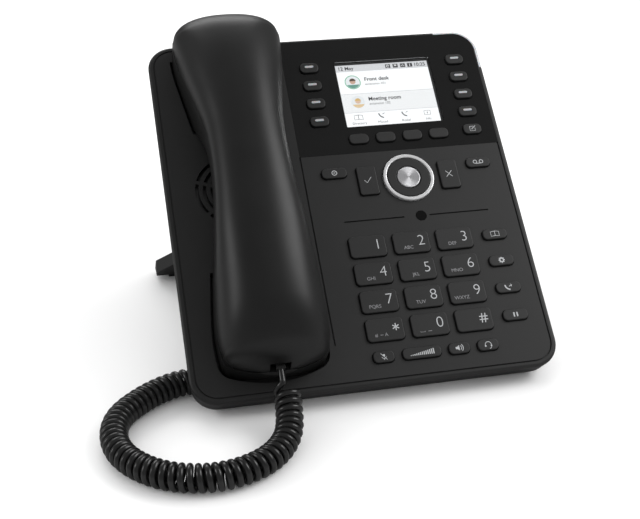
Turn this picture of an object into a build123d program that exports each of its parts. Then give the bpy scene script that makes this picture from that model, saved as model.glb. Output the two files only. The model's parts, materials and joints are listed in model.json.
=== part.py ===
from build123d import *
import math
import os

# Desk telephone on its rear stand. All of it except the cord is drawn in the deck frame: X runs to the
# right from the middle of the housing, Y runs up the deck from its bottom edge, and Z comes out of the
# deck, with the face at Z = 0. At the end everything is tilted back and set down on the floor.

os.makedirs("parts", exist_ok=True)

# ---- driving dimensions, millimetres and degrees ----

BODY_WIDTH = 190.0
BODY_LENGTH = 208.0
BODY_CORNER = 14.0
BODY_TILT = 40.0
BODY_LIFT = 10.7
WALL = 2.4
FACE_THICKNESS = 2.6
RIM_DEPTH = 11.0
RIM_TAPER = 6.0
RIM_ROUND = 1.6
SEAM_INSET = 2.8
SEAM_WIDTH = 0.8
GROOVE_DEPTH = 0.8

DISPLAY_WIDTH = 54.0
DISPLAY_HEIGHT = 40.5
DISPLAY_FROM_RIGHT = 58.6
DISPLAY_FROM_TOP = 38.3
FACEPLATE_THICKNESS = 1.6
FACEPLATE_BELOW_DISPLAY = 37.9
FACEPLATE_LEFT = 57.0
FACEPLATE_FROM_TOP = 2.1
LENS_MARGIN = 1.0
LEDGE = 0.5
LENS_THICKNESS = 1.5
LCD_BORDER = 4.0
LCD_THICKNESS = 4.4

KEY_RISE = 1.3
KEY_ROUND = 0.6
KEY_GAP = 0.3
KEY_TRAVEL = 1.0
KEY_FLANGE = 0.8
KEY_FLANGE_DROP = 0.3
KEY_FLANGE_THICKNESS = 0.9
DOME_CLEARANCE = 0.25
DOME_HEIGHT = 1.2
MAT_THICKNESS = 0.8
BOARD_THICKNESS = 1.6

DIAL_WIDTH = 19.8
DIAL_HEIGHT = 12.3
DIAL_PITCH_X = 23.7
DIAL_PITCH_Y = 15.57
DIAL_CORNER = 2.4
PILL_HEIGHT = 6.1
ROCK_ANGLE = 2.5

NAV_RADIUS = 14.0
NAV_RING_INNER = 12.1
NAV_GAP = 0.3
NAV_CARRIER = 0.8
NAV_CARRIER_HOLE = 8.6
NAV_ROCK_ROOM = 0.6
OK_RADIUS = 6.35

GRILLE_RADIUS = 21.0
GRILLE_PITCH = 4.0
GRILLE_SLOT = 1.8
GRILLE_RINGS = 4
GRILLE_SPOKES = 6
GRILLE_SPOKE_WIDTH = 2.0
GRILLE_SPOKE_START = 42.0

LIGHT_BAR_LENGTH = 24.6
LIGHT_BAR_SIDE = 26.0
LIGHT_BAR_WIDTH = 2.0
LIGHT_BAR_DEPTH = 5.0

COVER_THICKNESS = 2.2
COVER_GAP = 0.3
BULGE_DEPTH = 19.0
BULGE_TAPER = 14.0
BULGE_LEFT = 75.0
BULGE_RIGHT = 80.0
BULGE_BOTTOM = 35.0
BULGE_TOP = 190.0

SCREW_RADIUS = 1.45
SCREW_LENGTH = 7.0
SCREW_HEAD_RADIUS = 2.7
SCREW_HEAD_HEIGHT = 1.6
BOSS_RADIUS = 3.2

HANDSET_WIDTH = 59.0
HANDSET_WAIST = 39.6
HANDSET_LENGTH = 202.6
HANDSET_HEIGHT = 44.0
HANDSET_FROM_LEFT = 42.9
HANDSET_BOTTOM = 9.4
HANDSET_WALL = 2.2
HANDSET_ROUND = 9.0
ARCH_HEIGHT = 19.0
EAR_OVERHANG = 16.0
EAR_LIFT = 2.0
WELL_DEPTH = 5.6
WELL_GAP = 1.4
WELL_WALL = 2.0
SEAT_GAP = 1.0
JACK_HEIGHT = 15.2
JACK_WIDTH = 10.0
JACK_TALL = 6.6
RECEIVER_FROM_TOP = 29.2
RECEIVER_RADIUS = 11.0
MICROPHONE_FROM_BOTTOM = 15.0
MICROPHONE_RADIUS = 5.0
SOUND_HOLE_RADIUS = 1.0
SOUND_HOLE_PITCH = 4.0
SOUND_HOLE_RINGS = 2
MOUTH_SLOT_PITCH = 5.0
HOOK_FROM_TOP = 45.0
HOOK_RADIUS = 3.5
HOOK_LENGTH = 7.2

BASE_FOOT_WIDTH = 30.0
BASE_FOOT_FROM_MIDDLE = 68.0
BASE_FOOT_LENGTH = 5.0
BASE_PAD = 1.6
PAD_THICKNESS = 2.7

STAND_HEIGHT_ON_DECK = 110.0
STAND_LEAN = 7.5
STAND_WIDTH = 194.0
STAND_NECK = 96.0
STAND_THICKNESS = 7.5
STAND_SKIN = 3.0
STAND_PLATE_LENGTH = 34.0
STAND_TRAVEL = 8.0
HOOK_WIDTH = 9.0
HOOK_STEM = 3.0
HOOK_LIP = 5.0
HOOK_GAP = 0.3

CORD_DIAMETER = 13.5
WIRE_DIAMETER = 3.0
PLUG_WIDTH = 7.7
PLUG_HEIGHT = 6.4
PLUG_LENGTH = 12.0

# ---- places worked out from them ----

DISPLAY_X = BODY_WIDTH / 2 - DISPLAY_FROM_RIGHT
DISPLAY_Y = BODY_LENGTH - DISPLAY_FROM_TOP
HANDSET_X = -BODY_WIDTH / 2 + HANDSET_FROM_LEFT
HANDSET_TOP = HANDSET_BOTTOM + HANDSET_LENGTH
SEAT_LEVEL = SEAT_GAP - WELL_DEPTH
FACE_BACK = -FACE_THICKNESS
FLANGE_TOP = FACE_BACK - KEY_FLANGE_DROP
KEY_BOTTOM = FLANGE_TOP - KEY_FLANGE_THICKNESS
DOME_TOP = KEY_BOTTOM - KEY_TRAVEL - DOME_CLEARANCE
MAT_TOP = DOME_TOP - DOME_HEIGHT
BOARD_TOP = MAT_TOP - MAT_THICKNESS
BOARD_BACK = BOARD_TOP - BOARD_THICKNESS
COVER_FRONT = -RIM_DEPTH + COVER_THICKNESS
COVER_BACK = -RIM_DEPTH
BULGE_BACK = COVER_BACK - BULGE_DEPTH
NAV_Y = DISPLAY_Y - 55.7
DIAL_TOP_Y = DISPLAY_Y - 94.4
SPEAKER_X = HANDSET_X - 6.9
SPEAKER_Y = HANDSET_BOTTOM + 106.3


def block(x, y, width, length, low, high, corner=0.0):
    """Upright block centred on x, y, from low to high, with its upright edges rounded."""
    outline = RectangleRounded(width, length, corner) if corner else Rectangle(width, length)
    return Pos(x, y, low) * extrude(outline, high - low)


def disc(x, y, radius, low, high):
    return Pos(x, y, low) * extrude(Circle(radius), high - low)


def tube(x, y, outer, inner, low, high):
    return Pos(x, y, low) * extrude(Circle(outer) - Circle(inner), high - low)


def rounded_top(shape, radius):
    """The shape with the edges of its highest face rounded."""
    return fillet(shape.faces().sort_by(Axis.Z)[-1].edges(), radius)


def extruded_sideways(outline, half_width):
    """Prism along X through an outline drawn in Y and Z."""
    return extrude(Plane.YZ * outline, half_width, both=True)


def floor_height(y, z):
    """How high a point of the deck frame stands above the deck frame's origin once tilted."""
    tilt = math.radians(BODY_TILT)
    return y * math.sin(tilt) + z * math.cos(tilt)


def below(height):
    """Everything under a level that is parallel to the floor, in the deck frame."""
    return Rot(X=-BODY_TILT) * Pos(0, 0, height - 200) * Box(900, 900, 400)


# ---- where every key sits: centre, width, height and corner radius ----

dial_names = ["1", "2", "3", "4", "5", "6", "7", "8", "9", "star", "0", "hash"]
keys = {}
for row in range(4):
    for column in range(3):
        x = DISPLAY_X + (column - 1) * DIAL_PITCH_X - 6.6
        y = DIAL_TOP_Y - row * DIAL_PITCH_Y
        keys["dial_key_" + dial_names[3 * row + column]] = (x, y, DIAL_WIDTH, DIAL_HEIGHT, DIAL_CORNER)

for side in range(2):
    for row in range(4):
        x = DISPLAY_X + (2 * side - 1) * 42.6
        y = DISPLAY_Y + 18.1 - row * 11.67
        keys[f"function_key_{4 * side + row + 1}"] = (x, y, 10.5, 6.3, 2.6)
keys["page_key"] = (DISPLAY_X + 42.6, DISPLAY_Y - 28.6, 10.5, 6.3, 2.6)

for column in range(4):
    keys[f"soft_key_{column + 1}"] = (DISPLAY_X + (column - 1.5) * 15.2, DISPLAY_Y - 29.6, 11.0, 6.1, 2.6)

keys["dnd_key"] = (DISPLAY_X - 40.3, DISPLAY_Y - 49.7, 13.9, PILL_HEIGHT, 2.6)
keys["voicemail_key"] = (DISPLAY_X + 40.8, DISPLAY_Y - 49.9, 13.7, PILL_HEIGHT, 2.6)
keys["confirm_key"] = (DISPLAY_X - 22.8, NAV_Y, 10.75, 17.2, 1.6)
keys["cancel_key"] = (DISPLAY_X + 22.8, NAV_Y, 10.75, 17.2, 1.6)

for row, name in enumerate(["directory_key", "settings_key", "transfer_key", "hold_key"]):
    keys[name] = (DISPLAY_X + 39.8, DIAL_TOP_Y + 0.3 - row * DIAL_PITCH_Y, 13.6, PILL_HEIGHT, 2.6)

for name, offset, width in [
    ("mute_key", -33.7, 11.1),
    ("volume_key", -13.8, 20.4),
    ("speaker_key", 5.9, 11.3),
    ("headset_key", 21.3, 11.3),
]:
    keys[name] = (DISPLAY_X + offset, DIAL_TOP_Y - 61.0, width, PILL_HEIGHT, 2.6)

parts = {}


# ---- handset: two shells split along a parting line, hollow inside ----


def handset_plan(inset):
    """Outline from the front: wide ear and mouth ends, a slim grip and gently bowed ends."""
    end = HANDSET_WIDTH / 2 - inset
    mouth = end - 2.0
    waist = HANDSET_WAIST / 2 - inset
    low = HANDSET_BOTTOM + inset
    high = HANDSET_TOP - inset
    side = [
        (mouth - 1.5, low + 6.5),
        (mouth, low + 22),
        (mouth - 1.8, low + 46),
        (waist + 3.4, low + 66),
        (waist + 0.2, low + 98),
        (waist + 0.4, low + 126 - 2 * inset),
        (end - 6.4, high - 57),
        (end - 2.6, high - 36),
        (end - 0.2, high - 14),
        (end - 1.0, high - 6.5),
    ]
    right = Spline(*side)
    left = Spline(*[(-x, y) for x, y in side])
    head = ThreePointArc(side[-1], (0, high), (-side[-1][0], side[-1][1]))
    tail = ThreePointArc(side[0], (0, low), (-side[0][0], side[0][1]))
    outline = make_face([right, head, left, tail])
    return Pos(HANDSET_X, 0) * fillet(outline.vertices(), 7.0 - inset)


def handset_profile(inset):
    """Outline from the side: a high rounded back over an arch that stands clear of the deck."""
    low = HANDSET_BOTTOM - 0.5 + inset
    high = HANDSET_TOP + 0.5 - inset
    seat = SEAT_LEVEL + inset
    top = HANDSET_HEIGHT - inset
    arch = ARCH_HEIGHT + inset
    lip = EAR_LIFT + inset
    back = Spline(
        (low, 4.0),
        (low + 10, top - 19),
        (low + 30, top - 4.5),
        (low + 66, top - 0.6),
        (low + 110, top),
        (low + 152, top - 2.0),
        (high - 20, top - 7.0),
        (high - 6, top - 14.5),
        (high, top - 24.0),
    )
    arched = Spline(
        (low + 48, seat),
        (low + 62, seat + 8),
        (low + 80, arch - 2.5),
        (low + 100, arch),
        (low + 120, arch - 2.5),
        (low + 140, seat + 8),
        (low + 154, seat),
    )
    edges = [
        back,
        Line((high, top - 24.0), (high - 1.5, lip)),
        Line((high - 1.5, lip), (high - EAR_OVERHANG + 1.5, lip)),
        Line((high - EAR_OVERHANG + 1.5, lip), (high - EAR_OVERHANG, seat)),
        Line((high - EAR_OVERHANG, seat), (low + 154, seat)),
        arched,
        Line((low + 48, seat), (low + 4, seat)),
        Line((low + 4, seat), (low, 4.0)),
    ]
    return make_face(edges)


parting = Spline(
    (HANDSET_BOTTOM - 8, 11.0),
    (HANDSET_BOTTOM + 30, 13.0),
    (HANDSET_BOTTOM + 70, 26.0),
    (HANDSET_BOTTOM + 101, 30.0),
    (HANDSET_BOTTOM + 132, 26.0),
    (HANDSET_TOP - 30, 14.0),
    (HANDSET_TOP + 8, 12.0),
)
parting_start = parting @ 0
parting_end = parting @ 1
under_parting = extruded_sideways(
    make_face([
        parting,
        Line(parting_end, (parting_end.X, -40)),
        Line((parting_end.X, -40), (parting_start.X, -40)),
        Line((parting_start.X, -40), parting_start),
    ]),
    BODY_WIDTH,
)


def handset_rounding(inset):
    """Loft whose upper corners round off the long edges of the handset's back."""
    low = HANDSET_BOTTOM
    high = HANDSET_TOP
    end = HANDSET_WIDTH / 2 - inset
    waist = HANDSET_WAIST / 2 - inset
    top = HANDSET_HEIGHT - inset
    stations = [
        (low - 2, end - 2.5, top - 14),
        (low + 22, end - 1.8, top - 5.5),
        (low + 46, end - 3.6, top - 2.3),
        (low + 75, waist + 2.6, top - 0.3),
        (low + 110, waist + 0.3, top + 0.1),
        (low + 140, waist + 3.2, top - 0.6),
        (high - 36, end - 2.2, top - 4.4),
        (high - 14, end - 0.1, top - 9.5),
        (high + 2, end, top - 18),
    ]
    sections = []
    for y, half, height in stations:
        outline = RectangleRounded(2 * half, height + 30, HANDSET_ROUND + 1 - inset)
        plane = Plane(origin=(HANDSET_X, y, height / 2 - 15), x_dir=(1, 0, 0), z_dir=(0, -1, 0))
        sections.append(plane * outline)
    return loft(sections)


def handset_block(inset):
    """Whole handset as one solid with square back edges: its plan and its side view at once."""
    prism = extrude(Pos(0, 0, -20) * handset_plan(inset), 90)
    side = Pos(HANDSET_X, 0, 0) * extruded_sideways(handset_profile(inset), HANDSET_WIDTH)
    return prism & side


core = handset_block(HANDSET_WALL) & handset_rounding(HANDSET_WALL)

# the lead's socket opens in the blunt mouth end, above the parting line
jack_low = JACK_HEIGHT - JACK_TALL / 2
jack_mouth = block(HANDSET_X, HANDSET_BOTTOM + 4, JACK_WIDTH, 16.0, jack_low, jack_low + JACK_TALL)
outer_half = (handset_block(0) & handset_rounding(0)) - core
parts["handset_outer_shell"] = outer_half - under_parting - jack_mouth

ear_y = HANDSET_TOP - RECEIVER_FROM_TOP
mouth_y = HANDSET_BOTTOM + MICROPHONE_FROM_BOTTOM
hole_low = SEAT_LEVEL - 1
hole_high = SEAT_LEVEL + HANDSET_WALL + 1
sound_holes = [disc(HANDSET_X, ear_y, SOUND_HOLE_RADIUS, hole_low, hole_high)]
for ring in range(1, SOUND_HOLE_RINGS + 1):
    for step in range(6 * ring):
        angle = math.radians(60 * step / ring)
        x = HANDSET_X + ring * SOUND_HOLE_PITCH * math.cos(angle)
        y = ear_y + ring * SOUND_HOLE_PITCH * math.sin(angle)
        sound_holes.append(disc(x, y, SOUND_HOLE_RADIUS, hole_low, hole_high))
for step in (-1, 0, 1):
    x = HANDSET_X + step * MOUTH_SLOT_PITCH
    sound_holes.append(block(x, mouth_y, 2.0, 5.0, hole_low, hole_high, 0.9))
parts["handset_inner_shell"] = (handset_block(0) & under_parting) - core - sound_holes

# receiver, microphone and lead socket inside the handset
inside = SEAT_LEVEL + HANDSET_WALL
receiver = disc(HANDSET_X, ear_y, RECEIVER_RADIUS, inside, inside + 4)
receiver += disc(HANDSET_X, ear_y, RECEIVER_RADIUS - 4, inside + 4, inside + 8)
microphone = disc(HANDSET_X, mouth_y + 3, MICROPHONE_RADIUS, inside, inside + 5.5)
socket_y = HANDSET_BOTTOM + 18.5
socket = block(HANDSET_X, socket_y, 13.0, 16.0, JACK_HEIGHT - 5.0, JACK_HEIGHT + 5.0)
socket -= block(HANDSET_X, socket_y - 3, 8.1, 16.0, JACK_HEIGHT - 3.4, JACK_HEIGHT + 3.4)
parts["handset_electronics"] = receiver + microphone + socket

# ---- front housing: face, rim, wells for the handset's ends, key openings and screw bosses ----

middle_y = BODY_LENGTH / 2
body_outline = Pos(0, middle_y) * RectangleRounded(BODY_WIDTH, BODY_LENGTH, BODY_CORNER)


def inset_outline(inset):
    corner = BODY_CORNER - inset
    return Pos(0, middle_y) * RectangleRounded(BODY_WIDTH - 2 * inset, BODY_LENGTH - 2 * inset, corner)


DOWN = (0, 0, -1)
outer = rounded_top(extrude(body_outline, RIM_DEPTH, dir=DOWN, taper=RIM_TAPER), RIM_ROUND)
inner = Pos(0, 0, FACE_BACK) * extrude(inset_outline(WALL), RIM_DEPTH, dir=DOWN, taper=RIM_TAPER)
front = outer - inner

well_ends = [
    (HANDSET_BOTTOM - 20, HANDSET_BOTTOM + 60),
    (HANDSET_TOP - 61, HANDSET_TOP - EAR_OVERHANG + 0.5 + WELL_GAP),
]
for start, end in well_ends:
    length = end - start
    zone = block(HANDSET_X, (start + end) / 2, HANDSET_WIDTH + 20, length, -40, 20)
    wall_zone = block(HANDSET_X, (start + end) / 2, HANDSET_WIDTH + 20, length + 2 * WELL_WALL, -40, 20)
    shell = Pos(0, 0, -WELL_DEPTH - WELL_WALL) * extrude(handset_plan(-WELL_GAP - WELL_WALL), 7.0)
    hole = Pos(0, 0, -WELL_DEPTH) * extrude(handset_plan(-WELL_GAP), WELL_DEPTH + 5)
    front = front + (shell & wall_zone)
    front = front - (hole & zone)

boss_x = BODY_WIDTH / 2 - 7.0
bosses = []
for x in (-boss_x, boss_x):
    for y in (14.0, middle_y - 4, BODY_LENGTH - 12.0):
        bosses.append((x, y))
for x, y in bosses:
    front += disc(x, y, BOSS_RADIUS, COVER_FRONT, FACE_BACK + 0.2)
for x, y in bosses:
    front -= disc(x, y, SCREW_RADIUS + 0.05, COVER_FRONT - 1, FACE_BACK - 0.8)

# faceplate pocket, display window and key openings
faceplate_right = BODY_WIDTH / 2 - SEAM_INSET
faceplate_left = DISPLAY_X - FACEPLATE_LEFT
faceplate_low = DISPLAY_Y - FACEPLATE_BELOW_DISPLAY
faceplate_high = BODY_LENGTH - FACEPLATE_FROM_TOP


def faceplate_outline(gap):
    width = faceplate_right - faceplate_left + 2 * gap
    height = faceplate_high - faceplate_low + 2 * gap
    plain = Rectangle(width, height)
    corner = plain.vertices().sort_by(Axis.X)[2:].sort_by(Axis.Y)[-1]
    x = (faceplate_right + faceplate_left) / 2
    y = (faceplate_high + faceplate_low) / 2
    return Pos(x, y) * fillet(corner, BODY_CORNER - SEAM_INSET)


front -= Pos(0, 0, -FACEPLATE_THICKNESS) * extrude(faceplate_outline(0.1), 5)
window_width = DISPLAY_WIDTH + 2 * LEDGE
window_height = DISPLAY_HEIGHT + 2 * LEDGE
front -= block(DISPLAY_X, DISPLAY_Y, window_width, window_height, -10, 5)

openings = Sketch()
for x, y, width, height, corner in keys.values():
    openings += Pos(x, y) * RectangleRounded(width + 2 * KEY_GAP, height + 2 * KEY_GAP, corner + KEY_GAP)
openings += Pos(DISPLAY_X, NAV_Y) * Circle(NAV_RADIUS + NAV_GAP)
openings = Pos(0, 0, -10) * extrude(openings, 15)
front -= openings

# speaker grille: rings of slots broken by spokes
slots = Sketch()
for ring in range(GRILLE_RINGS):
    radius = GRILLE_RADIUS - 2 - ring * GRILLE_PITCH
    slots += Circle(radius + GRILLE_SLOT / 2) - Circle(radius - GRILLE_SLOT / 2)
for spoke in range(GRILLE_SPOKES):
    angle = GRILLE_SPOKE_START + 360 * spoke / GRILLE_SPOKES
    slots -= Rot(Z=angle) * Pos(GRILLE_RADIUS / 2) * Rectangle(GRILLE_RADIUS, GRILLE_SPOKE_WIDTH)
front -= Pos(SPEAKER_X, SPEAKER_Y, -4) * extrude(slots, 8)

# seam line round the face, divider beside the handset and the line through the sensor
groove = Pos(0, 0, -GROOVE_DEPTH) * extrude(inset_outline(SEAM_INSET) - inset_outline(SEAM_INSET + SEAM_WIDTH), 2)
divider = block(faceplate_left, (faceplate_low + 23.2) / 2, SEAM_WIDTH, faceplate_low - 23.2, -GROOVE_DEPTH, 2)
line_y = DISPLAY_Y - 78.8
left_line = block(DISPLAY_X - 23.4, line_y, 33.0, SEAM_WIDTH, -GROOVE_DEPTH, 2)
right_line = block(DISPLAY_X + 23.5, line_y, 33.0, SEAM_WIDTH, -GROOVE_DEPTH, 2)
sensor_x = DISPLAY_X + 2.4
sensor_hole = disc(sensor_x, line_y, 3.0, -1.6, 2) + disc(sensor_x, line_y, 1.0, -5, 0)
front = front - [groove, divider, left_line, right_line, sensor_hole]

# notch for the light bar round the upper right corner
bar_zone = block(
    BODY_WIDTH / 2 - LIGHT_BAR_LENGTH / 2 + 5,
    BODY_LENGTH - LIGHT_BAR_SIDE / 2 + 5,
    LIGHT_BAR_LENGTH + 10,
    LIGHT_BAR_SIDE + 10,
    -LIGHT_BAR_DEPTH,
    5,
)
inside_bar = Pos(0, 0, -20) * extrude(inset_outline(LIGHT_BAR_WIDTH), 30)
bar_zone -= inside_bar
front -= bar_zone
parts["light_bar"] = outer & bar_zone

# hook switch opening in the floor of the upper well
hook_y = HANDSET_TOP - HOOK_FROM_TOP
front -= disc(HANDSET_X, hook_y, HOOK_RADIUS + 0.3, -20, 0)
parts["front_housing"] = front
hook_top = SEAT_LEVEL - 0.25
hook_low = hook_top - HOOK_LENGTH
hook = disc(HANDSET_X, hook_y, HOOK_RADIUS, hook_low, hook_top)
hook += disc(HANDSET_X, hook_y, HOOK_RADIUS + 1.5, hook_low, hook_low + 1.6)
parts["hook_switch"] = rounded_top(hook, 0.4)

# ---- glossy faceplate and clear lenses ----

faceplate = Pos(0, 0, -FACEPLATE_THICKNESS) * extrude(faceplate_outline(0), FACEPLATE_THICKNESS)
lens_width = DISPLAY_WIDTH + 2 * LENS_MARGIN
lens_height = DISPLAY_HEIGHT + 2 * LENS_MARGIN
lens_hole = block(DISPLAY_X, DISPLAY_Y, lens_width + 0.2, lens_height + 0.2, -10, 5, 1.0)
parts["display_faceplate"] = faceplate - lens_hole - openings
lens_low = -FACEPLATE_THICKNESS
display_lens = block(DISPLAY_X, DISPLAY_Y, lens_width, lens_height, lens_low, lens_low + LENS_THICKNESS, 1.0)
sensor_lens = disc(sensor_x, line_y, 2.9, -1.6, 0.2)
parts["window_lenses"] = display_lens + sensor_lens

# ---- keys: cap through the face, flange behind it ----

for name, (x, y, width, height, corner) in keys.items():
    cap = rounded_top(block(x, y, width, height, KEY_BOTTOM, KEY_RISE, corner), KEY_ROUND)
    wide = width + 2 * KEY_FLANGE
    tall = height + 2 * KEY_FLANGE
    flange_top = FLANGE_TOP - (0.35 if name == "volume_key" else 0)
    cap += block(x, y, wide, tall, KEY_BOTTOM - FLANGE_TOP + flange_top, flange_top, corner + KEY_FLANGE)
    if name.startswith("function_key"):
        cap -= block(x, y + 0.6, 5.4, 1.5, KEY_RISE - 0.3, KEY_RISE + 1, 0.3)
    parts[name] = cap

ring = rounded_top(tube(DISPLAY_X, NAV_Y, NAV_RADIUS, NAV_RING_INNER, KEY_BOTTOM, KEY_RISE + 0.3), 0.5)
carrier_top = KEY_BOTTOM + 0.2
ring += tube(DISPLAY_X, NAV_Y, NAV_RADIUS + 1.2, NAV_CARRIER_HOLE, carrier_top - NAV_CARRIER, carrier_top)
parts["nav_trim_ring"] = ring
pad_low = carrier_top + NAV_ROCK_ROOM
pad = tube(DISPLAY_X, NAV_Y, NAV_RING_INNER - NAV_GAP, OK_RADIUS + NAV_GAP, pad_low, KEY_RISE)
parts["nav_pad"] = rounded_top(pad, 0.5)
ok_button = rounded_top(disc(DISPLAY_X, NAV_Y, OK_RADIUS, KEY_BOTTOM, KEY_RISE + 0.2), 0.5)
parts["ok_button"] = ok_button

# ---- inside: display module, silicone keypad, boards with their sockets, loudspeaker ----

board_left = faceplate_left + 4.6
board_right = BODY_WIDTH / 2 - 11.0
board_low = 8.0
board_high = BODY_LENGTH - 12.0
board_x = (board_left + board_right) / 2
board_y = (board_low + board_high) / 2
board = block(board_x, board_y, board_right - board_left, board_high - board_low, BOARD_BACK, BOARD_TOP)
lcd_width = DISPLAY_WIDTH + 2 * LCD_BORDER
lcd_height = DISPLAY_HEIGHT + 2 * LCD_BORDER
parts["lcd_module"] = block(DISPLAY_X, DISPLAY_Y, lcd_width, lcd_height, BOARD_TOP, BOARD_TOP + LCD_THICKNESS)

mat = block(board_x, board_y, board_right - board_left - 1, board_high - board_low - 1, BOARD_TOP, MAT_TOP)
mat -= block(DISPLAY_X, DISPLAY_Y, lcd_width + 1, lcd_height + 1, BOARD_TOP - 1, MAT_TOP + 1)
for name, (x, y, width, height, corner) in keys.items():
    domes = [-0.3 * width, 0.3 * width] if name == "volume_key" else [0.0]
    for offset in domes:
        lower = 0.6 if name == "volume_key" else 0.0
        mat += disc(x + offset, y, min(height, width) * 0.3, MAT_TOP, DOME_TOP - lower)
for angle in range(0, 360, 90):
    across = 9.2 * math.cos(math.radians(angle))
    up = 9.2 * math.sin(math.radians(angle))
    mat += disc(DISPLAY_X + across, NAV_Y + up, 1.8, MAT_TOP, DOME_TOP - 0.6)
mat += disc(DISPLAY_X, NAV_Y, 2.4, MAT_TOP, DOME_TOP)
parts["keypad_membrane"] = mat

socket_board_top = COVER_BACK - 0.6
socket_board_back = socket_board_top - BOARD_THICKNESS
socket_board_low = BULGE_BOTTOM + 5.0
socket_board = block(2.0, socket_board_low + 24, 144.0, 48.0, socket_board_back, socket_board_top)
header = block(board_left + 30, socket_board_low + 30, 30.0, 5.0, socket_board_top, BOARD_BACK)
main_board = board + socket_board + header
# centre, width and depth of each socket, with its opening's width and height
sockets = [
    (-60.0, 10.2, 8.2, 7.9, 6.8),
    (-38.0, 10.2, 8.2, 7.9, 6.8),
    (-12.0, 16.0, 13.0, 11.9, 8.2),
    (8.0, 16.0, 13.0, 11.9, 8.2),
    (34.0, 9.6, 10.6, 6.0, 6.0),
]
socket_face = BULGE_BOTTOM + 3.8
socket_middles = []
socket_windows = []
for x, width, depth, open_width, open_height in sockets:
    centre_z = socket_board_back - depth / 2
    main_board += block(x, socket_face + 8, width, 16.0, socket_board_back - depth, socket_board_back)
    main_board -= block(x, socket_face + 5, open_width, 14.0, centre_z - open_height / 2, centre_z + open_height / 2)
    low = socket_board_back - depth - 0.4
    socket_windows.append(block(x, BULGE_BOTTOM + 4, width + 0.8, 20.0, low, socket_board_back + 0.4))
    socket_middles.append((x, centre_z))
parts["main_board"] = main_board

speaker = disc(SPEAKER_X, SPEAKER_Y, GRILLE_RADIUS - 0.5, -4.6, FACE_BACK - 0.3)
cone = extrude(Circle(GRILLE_RADIUS - 2.5), 4.4, dir=DOWN, taper=50)
speaker += Pos(SPEAKER_X, SPEAKER_Y, -4.6) * cone
speaker += disc(SPEAKER_X, SPEAKER_Y, 12.0, -14.0, -9.0)
parts["loudspeaker"] = speaker

# ---- rear cover: plate inside the rim, hollow bulge, lugs for the front feet ----

cover_inset = WALL + (RIM_DEPTH - FACE_THICKNESS) * math.tan(math.radians(RIM_TAPER)) + COVER_GAP
bulge_x = (BULGE_RIGHT - BULGE_LEFT) / 2
bulge_y = (BULGE_TOP + BULGE_BOTTOM) / 2


def bulge_outline(inset):
    width = BULGE_RIGHT + BULGE_LEFT - 2 * inset
    length = BULGE_TOP - BULGE_BOTTOM - 2 * inset
    return Pos(bulge_x, bulge_y) * RectangleRounded(width, length, 12.0 - inset)


bulge = extrude(bulge_outline(0), BULGE_DEPTH, dir=DOWN, taper=BULGE_TAPER)
bulge = fillet(bulge.faces().sort_by(Axis.Z)[0].edges(), 2.5)
hollow_bulge = extrude(bulge_outline(COVER_THICKNESS), BULGE_DEPTH - COVER_THICKNESS, dir=DOWN, taper=BULGE_TAPER)
cover = Pos(0, 0, COVER_BACK) * extrude(inset_outline(cover_inset), COVER_THICKNESS)
cover += Pos(0, 0, COVER_BACK) * bulge
cover -= Pos(0, 0, COVER_BACK) * hollow_bulge
cover -= Pos(0, 0, COVER_BACK) * extrude(bulge_outline(COVER_THICKNESS), COVER_THICKNESS + 1)
cover = cover - socket_windows

floor_level = -BODY_LIFT
foot_y = cover_inset + 0.3 + BASE_FOOT_LENGTH / 2
lugs = []
base_pads = []
for x in (-BASE_FOOT_FROM_MIDDLE, BASE_FOOT_FROM_MIDDLE):
    column = block(x, foot_y, BASE_FOOT_WIDTH, BASE_FOOT_LENGTH, COVER_BACK - 20, COVER_BACK)
    lugs.append(column - below(floor_level + BASE_PAD))
    base_pads.append((column & below(floor_level + BASE_PAD)) - below(floor_level))
for lug in lugs:
    cover += lug
parts["base_feet"] = Part() + base_pads

for x, y in bosses:
    cover -= disc(x, y, SCREW_RADIUS + 0.15, COVER_BACK - 5, COVER_FRONT + 5)
    cover -= disc(x, y, SCREW_HEAD_RADIUS + 0.3, COVER_BACK - 5, COVER_BACK + 1.2)

# ---- screws ----

screw = disc(0, 0, SCREW_RADIUS, COVER_BACK + 1.2, COVER_BACK + 1.2 + SCREW_LENGTH - 0.8)
screw += disc(0, 0, SCREW_HEAD_RADIUS, COVER_BACK + 1.2 - SCREW_HEAD_HEIGHT, COVER_BACK + 1.2)
for angle in (0, 90):
    screw -= Rot(Z=angle) * block(0, 0, 3.2, 0.7, COVER_BACK - 2, COVER_BACK + 0.4)
parts["housing_screws"] = Part() + [Pos(x, y) * screw for x, y in bosses]

# ---- stand: plate with hooks on the bulge's back, flared leg down to the floor ----

stand_y = STAND_HEIGHT_ON_DECK
lean = math.radians(STAND_LEAN)
plate_back = BULGE_BACK - STAND_SKIN
leg_top_height = floor_height(stand_y, plate_back) - floor_level
leg_length = leg_top_height / math.cos(math.radians(BODY_TILT + STAND_LEAN))
leg_plane = Plane(
    origin=(0, stand_y, plate_back + 0.01),
    x_dir=(1, 0, 0),
    z_dir=(0, math.cos(lean), math.sin(lean)),
)


def leg_outline(inset):
    top = STAND_NECK / 2 - inset
    wide = STAND_WIDTH / 2 - inset
    flare_end = leg_length - 11
    return make_face(Polyline(
        (-top, inset),
        (top, inset),
        (wide, flare_end),
        (wide, leg_length + 12 - inset),
        (-wide, leg_length + 12 - inset),
        (-wide, flare_end),
        close=True,
    ))


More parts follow.
